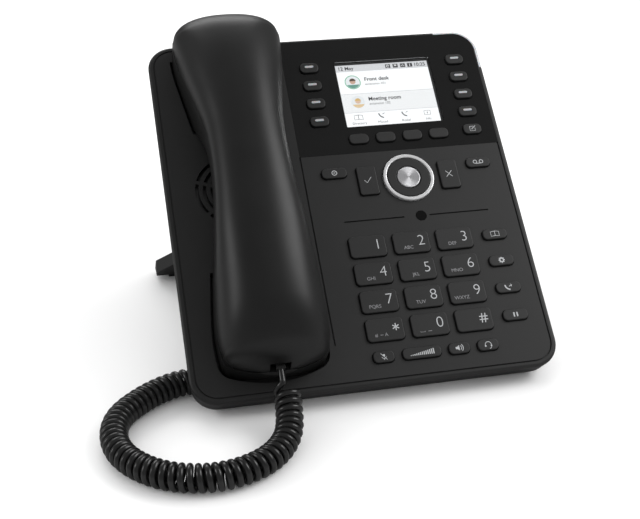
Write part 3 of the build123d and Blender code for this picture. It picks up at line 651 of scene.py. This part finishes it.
def flat_shape(points, thickness, colour):
    """Thin plate with this outline, in millimetres."""
    sheet = bmesh.new()
    face = sheet.faces.new([sheet.verts.new((x, y, 0)) for x, y in points])
    sheet.normal_update()
    if face.normal.z < 0:
        face.normal_flip()
    lifted = bmesh.ops.extrude_face_region(sheet, geom=[face])
    for item in lifted["geom"]:
        if isinstance(item, bmesh.types.BMVert):
            item.co.z += thickness
    bmesh.ops.recalc_face_normals(sheet, faces=sheet.faces)
    mesh = bpy.data.meshes.new("plate")
    sheet.to_mesh(mesh)
    sheet.free()
    return shade_faces(mesh, colour)


def rectangle(x, y, width, height, colour, thickness=0.03):
    half_x = width / 2
    half_y = height / 2
    points = [
        (x - half_x, y - half_y), (x + half_x, y - half_y),
        (x + half_x, y + half_y), (x - half_x, y + half_y),
    ]
    return flat_shape(points, thickness, colour)


def round_plate(x, y, radius, colour, thickness=0.03, start=0.0, sweep=360.0):
    """Disc, or part of one closed by its chord."""
    steps = 32
    points = []
    for step in range(steps):
        angle = math.radians(start + sweep * step / (steps - (sweep < 360)))
        points.append((x + radius * math.cos(angle), y + radius * math.sin(angle)))
    return flat_shape(points, thickness, colour)


def line_mark(points, width, colour, thickness=0.03, closed=False):
    """Line of even width with round ends through these points, in millimetres."""
    curve = bpy.data.curves.new("mark", "CURVE")
    curve.dimensions = "3D"
    curve.bevel_depth = width / 2
    curve.bevel_resolution = 1
    curve.use_fill_caps = True
    spline = curve.splines.new("POLY")
    spline.points.add(len(points) - 1)
    for knot, (x, y) in zip(spline.points, points):
        knot.co = (x, y, 0, 1)
    spline.use_cyclic_u = closed
    holder = new_object("mark", curve)
    mesh = evaluated_mesh(holder)
    bpy.data.objects.remove(holder)
    for vertex in mesh.vertices:
        vertex.co.z = (vertex.co.z / width + 0.5) * thickness
    mesh.materials.clear()
    return shade_faces(mesh, colour)


def arc_points(x, y, radius, start, end, steps=16):
    points = []
    for step in range(steps + 1):
        angle = math.radians(start + (end - start) * step / steps)
        points.append((x + radius * math.cos(angle), y + radius * math.sin(angle)))
    return points


CAPITAL_SHARE = 0.70


def lettering(words, x, y, size, colour, align="CENTER", thickness=0.03, weight=0.0):
    """Printed words, size millimetres tall, about the point x, y."""
    curve = bpy.data.curves.new("words", "FONT")
    curve.body = words
    curve.size = size / CAPITAL_SHARE
    curve.align_x = align
    curve.align_y = "CENTER"
    curve.extrude = thickness / 2
    curve.offset = weight
    curve.resolution_u = 4
    holder = new_object("words", curve)
    mesh = evaluated_mesh(holder)
    bpy.data.objects.remove(holder)
    mesh.materials.clear()
    return shade_faces(shifted(mesh, x, y, thickness / 2), colour)


def placed_print(name, marks, x, y, z, material, body):
    """Joins marks drawn in millimetres about x, y and lays them on the deck at height z."""
    mesh = joined(name, marks)
    for vertex in mesh.vertices:
        vertex.co = on_deck(x + vertex.co.x * MM, y + vertex.co.y * MM, z + vertex.co.z * MM)
    mesh.materials.append(material)
    piece = new_object(name, mesh)
    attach(piece, body)
    return piece


def printed_finish(name, glow, roughness):
    """Finish that takes its colour from the printed mark itself."""
    material = bpy.data.materials.new(name)
    material.use_nodes = True
    tree = material.node_tree
    shader = tree.nodes["Principled BSDF"]
    ink = tree.nodes.new("ShaderNodeAttribute")
    ink.attribute_name = "ink"
    tree.links.new(ink.outputs["Color"], shader.inputs["Base Color"])
    shader.inputs["Roughness"].default_value = roughness
    if glow:
        tree.links.new(ink.outputs["Color"], shader.inputs["Emission Color"])
        tree.links.remove(shader.inputs["Base Color"].links[0])
        shader.inputs["Base Color"].default_value = (0.02, 0.02, 0.02, 1)
        shader.inputs["Emission Strength"].default_value = glow
    return material


screen_glow = printed_finish("screen_glow", 1.16, 0.4)
printed_ink = printed_finish("printed_ink", 0.0, 0.5)

WHITE = (0.95, 0.96, 0.97)
PALE = (0.83, 0.84, 0.85)
GREY = (0.13, 0.13, 0.14)
DARK = (0.03, 0.03, 0.035)
left = -SCREEN_WIDTH / 2
top = SCREEN_HEIGHT / 2


def layer(marks, height):
    return [shifted(mesh, 0, 0, height) for mesh in marks]


def small_person(x, y, radius, skin, hair, shirt):
    """Round contact picture: a plain faceless figure on a tinted ground."""
    back = round_plate(x, y, radius, (0.75, 0.78, 0.80))
    body = round_plate(x, y, radius * 0.93, shirt, start=205, sweep=130)
    head = round_plate(x, y + radius * 0.12, radius * 0.40, skin)
    cap = round_plate(x, y + radius * 0.16, radius * 0.44, hair, start=5, sweep=170)
    return layer([back], 0.03) + layer([body], 0.06) + layer([head], 0.09) + layer([cap], 0.12)


screen = [rectangle(0, 0, SCREEN_WIDTH, SCREEN_HEIGHT, WHITE)]
screen += layer([rectangle(0, top - 2.2, SCREEN_WIDTH, 4.4, (0.62, 0.63, 0.65))], 0.02)
screen += layer([rectangle(0, -5.1, SCREEN_WIDTH, 12.2, PALE)], 0.02)
screen += layer([rectangle(0, y, SCREEN_WIDTH, 0.22, (0.5, 0.5, 0.52)) for y in (1.0, -11.2)], 0.04)
screen += layer([lettering("12 May", left + 1.2, top - 2.3, 2.2, DARK, "LEFT", weight=0.05)], 0.05)
screen += layer([lettering("10:25", left + 52.8, top - 2.3, 2.2, DARK, "RIGHT", weight=0.05)], 0.05)
for x in (3.6, 8.0, 12.4, 16.6):
    screen += layer([rectangle(x, top - 2.2, 2.9, 2.5, DARK)], 0.05)
screen += layer([line_mark(arc_points(3.6, top - 2.2, 0.7, 0, 320), 0.3, WHITE)], 0.09)
screen += layer([rectangle(8.0, top - 2.2, 1.5, 0.35, WHITE)], 0.09)
screen += layer([rectangle(8.0, top - 1.6, 1.5, 0.3, WHITE)], 0.09)
screen += layer([line_mark([(11.6, top - 2.7), (12.4, top - 1.7), (13.2, top - 2.7)], 0.3, WHITE)], 0.09)
screen += layer([line_mark([(16.6, top - 1.4), (16.6, top - 3.0)], 0.35, WHITE)], 0.09)
screen += small_person(left + 8.3, 8.7, 4.2, (0.55, 0.36, 0.27), (0.07, 0.045, 0.03), (0.12, 0.30, 0.24))
screen += layer([line_mark(arc_points(left + 8.3, 8.7, 4.4, 0, 360), 0.45, (0.10, 0.42, 0.24))], 0.14)
screen += small_person(left + 9.0, -4.4, 4.0, (0.68, 0.48, 0.36), (0.62, 0.42, 0.16), (0.70, 0.52, 0.30))
screen += layer([lettering("Front desk", left + 15.2, 10.2, 2.3, DARK, "LEFT", weight=0.07)], 0.05)
screen += layer([lettering("extension 101", left + 15.2, 7.0, 1.5, GREY, "LEFT")], 0.05)
screen += layer([lettering("Meeting room", left + 15.2, -2.9, 2.3, DARK, "LEFT", weight=0.07)], 0.05)
screen += layer([lettering("extension 102", left + 15.2, -6.1, 1.5, GREY, "LEFT")], 0.05)
for x, words in [(-19.6, "Directory"), (-6.2, "Missed"), (7.2, "Redial"), (20.2, "Info")]:
    screen += layer([lettering(words, x, -18.2, 1.45, GREY)], 0.05)
book = [(-2.4, 1.3), (-2.4, -1.5), (0, -1.2), (2.4, -1.5), (2.4, 1.3), (0, 1.6)]
screen += layer([line_mark([(x - 19.6, y - 14.4) for x, y in book], 0.3, GREY, closed=True)], 0.05)
screen += layer([line_mark([(-19.6, -12.8), (-19.6, -15.6)], 0.3, GREY)], 0.05)
for x in (-6.2, 7.2):
    screen += layer([line_mark(arc_points(x + 1.4, -12.6, 2.9, 180, 262, 10), 0.75, GREY)], 0.05)
    screen += layer([line_mark([(x + 0.4, -13.2), (x + 1.9, -12.6)], 0.3, GREY)], 0.05)
info_box = [(18.4, -13.0), (22.0, -13.0), (22.0, -15.6), (18.4, -15.6)]
screen += layer([line_mark(info_box, 0.3, GREY, closed=True)], 0.05)
screen += layer([line_mark([(20.2, -13.7), (20.2, -14.9)], 0.4, GREY)], 0.05)
placed_print("screen_image", screen, screen_x, screen_y, lcd_high.z, screen_glow, "housing")


# ---- light bar ----
# A milky strip of translucent plastic wraps the upper right corner. It lights up for calls and
# for waiting messages.

def milky(name, colour, roughness, scatter):
    material = bpy.data.materials.new(name)
    material.use_nodes = True
    tree = material.node_tree
    shader = tree.nodes["Principled BSDF"]
    place = tree.nodes.new("ShaderNodeTexCoord")
    cloud = tree.nodes.new("ShaderNodeTexNoise")
    cloud.inputs["Scale"].default_value = 90.0
    blend = tree.nodes.new("ShaderNodeMix")
    blend.data_type = "RGBA"
    blend.inputs["A"].default_value = (*[0.9 * value for value in colour], 1)
    blend.inputs["B"].default_value = (*colour, 1)
    tree.links.new(place.outputs["Object"], cloud.inputs["Vector"])
    tree.links.new(cloud.outputs["Fac"], blend.inputs["Factor"])
    tree.links.new(blend.outputs["Result"], shader.inputs["Base Color"])
    shader.inputs["Roughness"].default_value = roughness
    shader.inputs["Subsurface Weight"].default_value = scatter
    shader.inputs["Subsurface Scale"].default_value = 0.002
    shader.inputs["Coat Weight"].default_value = 0.3
    return material


finish_node("light_bar", milky("light_bar_white", (0.52, 0.53, 0.55), 0.2, 0.2))


# ---- keys ----
# Each key is a separate moulded cap with a soft matt skin. Legends are printed on the caps, and
# the function keys carry a small milky lamp window.

key_plastic = moulded("key_plastic", 0.014, 0.018, 0.42, 0.5)


def paint_shade_on_key_walls(material):
    """Painted shade: the cap's steep walls get a near-black, dull colour that stands in for the shade on the key
    sides; only its top carries the soft skin.
    """
    tree = material.node_tree
    shader = tree.nodes["Principled BSDF"]
    facing = tree.nodes.new("ShaderNodeNewGeometry")
    upright = tree.nodes.new("ShaderNodeVectorMath")
    upright.operation = "DOT_PRODUCT"
    upright.inputs[1].default_value = OUT
    top = tree.nodes.new("ShaderNodeMapRange")
    top.inputs["From Min"].default_value = 0.45
    top.inputs["From Max"].default_value = 0.9
    tree.links.new(facing.outputs["True Normal"], upright.inputs[0])
    tree.links.new(upright.outputs["Value"], top.inputs["Value"])
    for socket, painted_wall_shade in [("Base Color", (0.0015, 0.0015, 0.0015, 1)), ("Roughness", (0.85, 0.85, 0.85, 1))]:
        skin = shader.inputs[socket].links[0].from_socket
        blend = tree.nodes.new("ShaderNodeMix")
        blend.data_type = "RGBA"
        blend.inputs["A"].default_value = painted_wall_shade
        tree.links.new(top.outputs["Result"], blend.inputs["Factor"])
        tree.links.new(skin, blend.inputs["B"])
        tree.links.new(blend.outputs["Result"], shader.inputs[socket])


# Painted shade on the steep walls of every key cap.
paint_shade_on_key_walls(key_plastic)
for name in nodes:
    if "_key" in name:
        finish_node(name, key_plastic)
INK_WHITE = (0.44, 0.45, 0.46)
INK_GREY = (0.24, 0.24, 0.25)
lamp_window = milky("lamp_window", (0.42, 0.43, 0.45), 0.3, 0.2)


def key_print(key, marks):
    """Prints marks, drawn in millimetres about the key's middle, on the key's top."""
    low, high = deck_box(key)
    x = (low.x + high.x) / 2
    y = (low.y + high.y) / 2
    return placed_print(key + "_legend", marks, x, y, high.z, printed_ink, key)


letters = {"2": "ABC", "3": "DEF", "4": "GHI", "5": "JKL", "6": "MNO", "7": "PQRS", "8": "TUV", "9": "WXYZ"}
for digit in "1234567890":
    marks = [lettering(digit, 5.4, 0.5, 5.9, INK_WHITE, weight=-0.14)]
    if digit in letters:
        marks.append(lettering(letters[digit], 0.6, -2.9, 1.9, INK_GREY, "RIGHT"))
    if digit == "0":
        marks.append(line_mark([(-5.6, -3.3), (-5.6, -3.7), (-3.2, -3.7), (-3.2, -3.3)], 0.3, INK_GREY))
        marks.append(line_mark([(-1.6, -3.5), (0.4, -3.5)], 0.3, INK_GREY))
    key_print("dial_key_" + digit, marks)
star = []
for turn in range(3):
    angle = math.radians(90 + 60 * turn)
    x = 1.9 * math.cos(angle)
    y = 1.9 * math.sin(angle)
    star.append(line_mark([(5.7 - x, 0.8 - y), (5.7 + x, 0.8 + y)], 0.62, INK_WHITE))
star.append(lettering("#", -5.0, -2.9, 1.8, INK_GREY))
star.append(line_mark([(-3.0, -2.9), (-1.4, -2.9)], 0.3, INK_GREY))
star.append(lettering("A", 0.2, -2.9, 1.8, INK_GREY))
key_print("dial_key_star", star)
hash_marks = []
for offset in (-0.85, 0.85):
    hash_marks.append(line_mark([(4.9 + offset, -2.2), (5.5 + offset, 2.9)], 0.6, INK_WHITE))
    hash_marks.append(line_mark([(2.9, 0.35 + offset), (7.5, 0.35 + offset)], 0.6, INK_WHITE))
key_print("dial_key_hash", hash_marks)

THIN = 0.38
key_print("dnd_key", [
    line_mark(arc_points(0, 0, 1.3, 0, 348, 28), 0.5, INK_WHITE, closed=True),
    line_mark([(-0.55, 0), (0.55, 0)], 0.5, INK_WHITE),
])
key_print("voicemail_key", [
    line_mark(arc_points(-1.75, 0.1, 1.0, 0, 360, 24), 0.45, INK_WHITE),
    line_mark(arc_points(1.75, 0.1, 1.0, 0, 360, 24), 0.45, INK_WHITE),
    line_mark([(-1.75, -0.95), (1.75, -0.95)], 0.45, INK_WHITE),
])
key_print("confirm_key", [line_mark([(-1.9, 0.1), (-0.6, -1.5), (2.1, 1.9)], THIN, INK_WHITE)])
key_print("cancel_key", [
    line_mark([(-1.7, -1.8), (1.7, 1.8)], THIN, INK_WHITE),
    line_mark([(-1.7, 1.8), (1.7, -1.8)], THIN, INK_WHITE),
])
key_print("directory_key", [
    line_mark([(x * 0.95, y * 0.95) for x, y in book], 0.34, INK_WHITE, closed=True),
    line_mark([(0, 1.5), (0, -1.1)], 0.34, INK_WHITE),
])
teeth = []
for turn in range(8):
    angle = math.radians(45 * turn)
    x = math.cos(angle)
    y = math.sin(angle)
    teeth.append(line_mark([(1.2 * x, 1.2 * y), (1.75 * x, 1.75 * y)], 0.6, INK_WHITE))
key_print("settings_key", [line_mark(arc_points(0, 0, 1.05, 0, 360, 24), 0.75, INK_WHITE)] + teeth)
key_print("transfer_key", [
    line_mark(arc_points(1.1, 1.3, 2.9, 182, 262, 12), 0.8, INK_WHITE),
    line_mark([(0.3, 0.3), (1.9, 0.9)], THIN, INK_WHITE),
    line_mark([(1.2, 1.5), (1.9, 0.9), (1.5, 0.1)], THIN, INK_WHITE),
])
key_print("hold_key", [line_mark([(x, -1.2), (x, 1.2)], 0.85, INK_WHITE) for x in (-0.85, 0.85)])
key_print("mute_key", [
    line_mark([(0, 0.1), (0, 1.2)], 1.2, INK_WHITE),
    line_mark(arc_points(0, 0.1, 1.15, 190, 350, 10), 0.3, INK_WHITE),
    line_mark([(0, -1.0), (0, -1.7)], 0.35, INK_WHITE),
    line_mark([(-1.5, 1.7), (1.5, -1.7)], 0.3, INK_WHITE),
])
cone = [(-2.0, -0.6), (-1.1, -0.6), (0.0, -1.5), (0.0, 1.5), (-1.1, 0.6), (-2.0, 0.6)]
key_print("speaker_key", [
    flat_shape(cone, 0.03, INK_WHITE),
    line_mark(arc_points(-0.2, 0, 1.3, -50, 50, 8), THIN, INK_WHITE),
    line_mark(arc_points(-0.2, 0, 2.2, -50, 50, 8), THIN, INK_WHITE),
])
key_print("headset_key", [
    line_mark(arc_points(0, -0.1, 1.6, 0, 180, 14), THIN, INK_WHITE),
    line_mark([(-1.55, -0.2), (-1.55, -1.1)], 0.8, INK_WHITE),
    line_mark([(1.55, -0.2), (1.55, -1.1)], 0.8, INK_WHITE),
    line_mark(arc_points(0.1, -0.9, 1.4, 280, 350, 8), 0.3, INK_WHITE),
])
key_print("page_key", [
    line_mark([(-1.5, 1.3), (-1.5, -1.5), (1.5, -1.5), (1.5, 0.3)], 0.3, INK_WHITE),
    line_mark([(-1.5, 1.3), (0.6, 1.3)], 0.3, INK_WHITE),
    line_mark([(-0.6, -0.5), (1.9, 1.7)], 0.45, INK_WHITE),
])
wedge = grown(
    "wedge", bar_row, count=13, pitch=1.0, bar_width=0.55,
    first_height=0.35, last_height=2.9, thickness=0.03, finish=printed_ink,
)
wedge.materials.clear()
key_print("volume_key", [shade_faces(shifted(wedge, -6.0, -1.4, 0.015), INK_WHITE)])


def pill(x, y, width, height, low, high):
    """Rounded bar from low to high, in millimetres."""
    radius = height / 2
    right = arc_points(x + width / 2 - radius, y, radius, -90, 90, 8)
    points = right + arc_points(x - width / 2 + radius, y, radius, 90, 270, 8)
    return shifted(flat_shape(points, high - low, INK_WHITE), 0, 0, low)


for number in range(1, 9):
    name = f"function_key_{number}"
    low, high = deck_box(name)
    placed_print(
        name + "_lamp", [pill(0, 0.6, 5.0, 1.3, -0.28, 0.12)],
        (low.x + high.x) / 2, (low.y + high.y) / 2, high.z, lamp_window, name,
    )


# ---- navigation key ----
# A chrome-plated ring holds the four-way rocking pad, round a confirm button turned from aluminium
# whose fine lathe marks throw fan-shaped reflections.

finish_node("nav_pad", key_plastic)
chrome = brushed("trim_chrome", (0.92, 0.92, 0.93), 0.18, 0.28, 400.0, metallic=0.6)
finish_node("nav_trim_ring", chrome)


def spun_finish(centre):
    """Turned aluminium: the grain runs in circles about the button's middle."""
    material = metal("spun_aluminium", (0.80, 0.80, 0.82), 0.3, 0.85, metallic=0.85)
    tree = material.node_tree
    shader = tree.nodes["Principled BSDF"]
    place = tree.nodes.new("ShaderNodeTexCoord")
    spoke = tree.nodes.new("ShaderNodeVectorMath")
    spoke.operation = "SUBTRACT"
    spoke.inputs[1].default_value = centre
    round_way = tree.nodes.new("ShaderNodeVectorMath")
    round_way.operation = "CROSS_PRODUCT"
    round_way.inputs[0].default_value = OUT
    reach = tree.nodes.new("ShaderNodeVectorMath")
    reach.operation = "LENGTH"
    marks = tree.nodes.new("ShaderNodeTexNoise")
    marks.noise_dimensions = "1D"
    marks.inputs["Scale"].default_value = 9000.0
    spread = tree.nodes.new("ShaderNodeMapRange")
    spread.inputs["To Min"].default_value = 0.22
    spread.inputs["To Max"].default_value = 0.42
    tree.links.new(place.outputs["Object"], spoke.inputs[0])
    tree.links.new(spoke.outputs["Vector"], round_way.inputs[1])
    tree.links.new(spoke.outputs["Vector"], reach.inputs[0])
    tree.links.new(reach.outputs["Value"], marks.inputs["W"])
    tree.links.new(marks.outputs["Fac"], spread.inputs["Value"])
    tree.links.new(spread.outputs["Result"], shader.inputs["Roughness"])
    tree.links.new(round_way.outputs["Vector"], shader.inputs["Tangent"])
    return material


ok_low, ok_high = deck_box("ok_button")
finish_node("ok_button", spun_finish((on_deck(*ok_low) + on_deck(*ok_high)) / 2))


# ---- handset ----
# Two satin shells meet along a parting line: the inner one rests in the wells, and the outer one
# is a smooth domed back with a socket for the cord in its mouth end.

handset_plastic = moulded("handset_plastic", 0.005, 0.008, 0.36, 0.44, strength=0.3)
finish_node("handset_inner_shell", handset_plastic)
finish_node("handset_electronics", brushed("capsule_metal", (0.3, 0.3, 0.3), 0.3, 0.4, 500.0))

outer_low, outer_high = deck_box("handset_outer_shell")
inner_low, inner_high = deck_box("handset_inner_shell")
centre_x = (outer_low.x + outer_high.x) / 2
end_y = min(outer_low.y, inner_low.y)
LENGTH = (max(outer_high.y, inner_high.y) - end_y) / MM
half_widths = [
    (6.5, 26.0), (22, 27.5), (46, 25.7), (66, 23.2), (98, 20.0), (126, 20.2),
    (LENGTH - 57, 23.1), (LENGTH - 36, 26.9), (LENGTH - 14, 29.3), (LENGTH - 6.5, 28.5),
]
crown_heights = [
    (-0.5, 12.0), (4.0, 25.0), (12.0, 33.0), (29.5, 39.5), (65.5, 43.4), (109.5, 44.0),
    (151.5, 42.0), (LENGTH - 20, 37.0), (LENGTH - 6, 29.5), (LENGTH + 0.5, 18.0),
]
parting_heights = [
    (-8, 11), (30, 13), (70, 26), (101, 30), (132, 26), (LENGTH - 30, 14), (LENGTH + 8, 12),
]
END_BOW = 6.5
CORNER = 7.0
DOME_REACH = 30.0
SQUARENESS = 2.25
PARTING_GAP = 0.12
RING_CROWDING = 0.75
JACK_WIDTH = 10.0
JACK_LOW = 11.9
JACK_HIGH = 18.5
JACK_MIDDLE = 4.0
JACK_DEPTH = 16.0
SHELL_WALL = 2.0


def smooth(table, at):
    """Smooth curve through the points of a table."""
    xs = [point[0] for point in table]
    ys = [point[1] for point in table]
    slopes = []
    for index in range(len(table)):
        before = max(index - 1, 0)
        after = min(index + 1, len(table) - 1)
        slopes.append((ys[after] - ys[before]) / (xs[after] - xs[before]))
    index = 0
    while index < len(xs) - 2 and at > xs[index + 1]:
        index += 1
    span = xs[index + 1] - xs[index]
    t = min(1.0, max(0.0, (at - xs[index]) / span))
    rise = slopes[index] * span * (t - 2 * t * t + t ** 3) + slopes[index + 1] * span * (t ** 3 - t * t)
    return ys[index] * (1 - 3 * t * t + 2 * t ** 3) + ys[index + 1] * (3 * t * t - 2 * t ** 3) + rise


def end_outline(half, steps):
    """From the middle of a bowed end to where its rounded corner meets the side: x, depth from the end."""
    bow_radius = (half * half + END_BOW * END_BOW) / (2 * END_BOW)
    reach = half - CORNER
    drop = bow_radius - math.sqrt((bow_radius - CORNER) ** 2 - reach ** 2)
    lean = math.asin(reach / (bow_radius - CORNER))
    points = [(bow_radius * math.sin(lean * step / steps), bow_radius * (1 - math.cos(lean * step / steps)))
              for step in range(steps)]
    for step in range(steps + 1):
        angle = lean + (math.pi / 2 - lean) * step / steps
        points.append((reach + CORNER * math.sin(angle), drop - CORNER * math.cos(angle)))
    return points


def right_outline():
    """Right half of the handset's outline, from the mouth end's middle to the ear end's."""
    steps = 12
    mouth = end_outline(smooth(half_widths, 8.0), steps)
    ear = end_outline(smooth(half_widths, LENGTH - 8.0), steps)
    start = mouth[-1][1]
    stop = LENGTH - ear[-1][1]
    sides = []
    for step in range(1, 80):
        y = start + (stop - start) * step / 80
        sides.append((smooth(half_widths, y), y))
    return mouth + sides + [(x, LENGTH - y) for x, y in reversed(ear)]


def half_width(y, edge):
    """Half of the outline's width at y, from the outline's own points."""
    return float(np.interp(y, [point[1] for point in edge], [point[0] for point in edge]))


def outer_shell_mesh():
    """Rings that close in from the parting line, raised to a smooth crown with soft shoulders."""
    edge = right_outline()
    ring = edge + [(-x, y) for x, y in reversed(edge[1:-1])]
    rings = 34
    shell = bmesh.new()
    rows = []
    for level in range(rings + 1):
        inward = math.sin(math.pi / 2 * (1 - level / rings)) ** RING_CROWDING if level < rings else 0.0
        row = []
        for x, y in ring:
            spine_y = min(max(y, DOME_REACH), LENGTH - DOME_REACH)
            here_x = x * inward
            here_y = spine_y + (y - spine_y) * inward
            rim = smooth(parting_heights, here_y) + PARTING_GAP
            height = rim
            if level:
                share = min(1.0, abs(here_x) / max(half_width(here_y, edge), 0.01))
                crown = max(rim + 0.5, smooth(crown_heights, here_y))
                height += (crown - rim) * (1 - share ** SQUARENESS) ** (1 / SQUARENESS)
            row.append(shell.verts.new((here_x, here_y, height)))
        rows.append(row)
    for low_row, high_row in zip(rows, rows[1:]):
        for i in range(len(ring)):
            j = (i + 1) % len(ring)
            shell.faces.new((low_row[i], low_row[j], high_row[j], high_row[i]))
    bmesh.ops.remove_doubles(shell, verts=shell.verts, dist=0.02)
    bmesh.ops.recalc_face_normals(shell, faces=shell.faces)
    mesh = bpy.data.meshes.new("handset_back")
    shell.to_mesh(mesh)
    shell.free()
    mesh.shade_smooth()
    for vertex in mesh.vertices:
        x, y, z = vertex.co * MM
        vertex.co = on_deck(centre_x + x, end_y + y, FACE + z)
    return mesh


handset_back = new_object("handset_back", outer_shell_mesh())
handset_back.data.materials.append(handset_plastic)
thick = handset_back.modifiers.new("wall", "SOLIDIFY")
thick.thickness = SHELL_WALL * MM
thick.offset = -1.0
jack = bmesh.new()
bmesh.ops.create_cube(jack, size=1.0)
jack_mesh = bpy.data.meshes.new("jack_mouth")
jack.to_mesh(jack_mesh)
jack.free()
for vertex in jack_mesh.vertices:
    x, y, z = vertex.co
    height = (JACK_LOW + JACK_HIGH) / 2 + z * (JACK_HIGH - JACK_LOW)
    depth = JACK_MIDDLE + y * JACK_DEPTH
    vertex.co = on_deck(centre_x + x * JACK_WIDTH * MM, end_y + depth * MM, FACE + height * MM)
jack_mouth = new_object("jack_mouth", jack_mesh)
opening = handset_back.modifiers.new("socket", "BOOLEAN")
opening.operation = "DIFFERENCE"
opening.solver = "EXACT"
opening.object = jack_mouth
shell_mesh = evaluated_mesh(handset_back)
handset_back.modifiers.clear()
handset_back.data = shell_mesh
bpy.data.objects.remove(jack_mouth)
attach(handset_back, "handset")
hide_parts("handset_outer_shell")
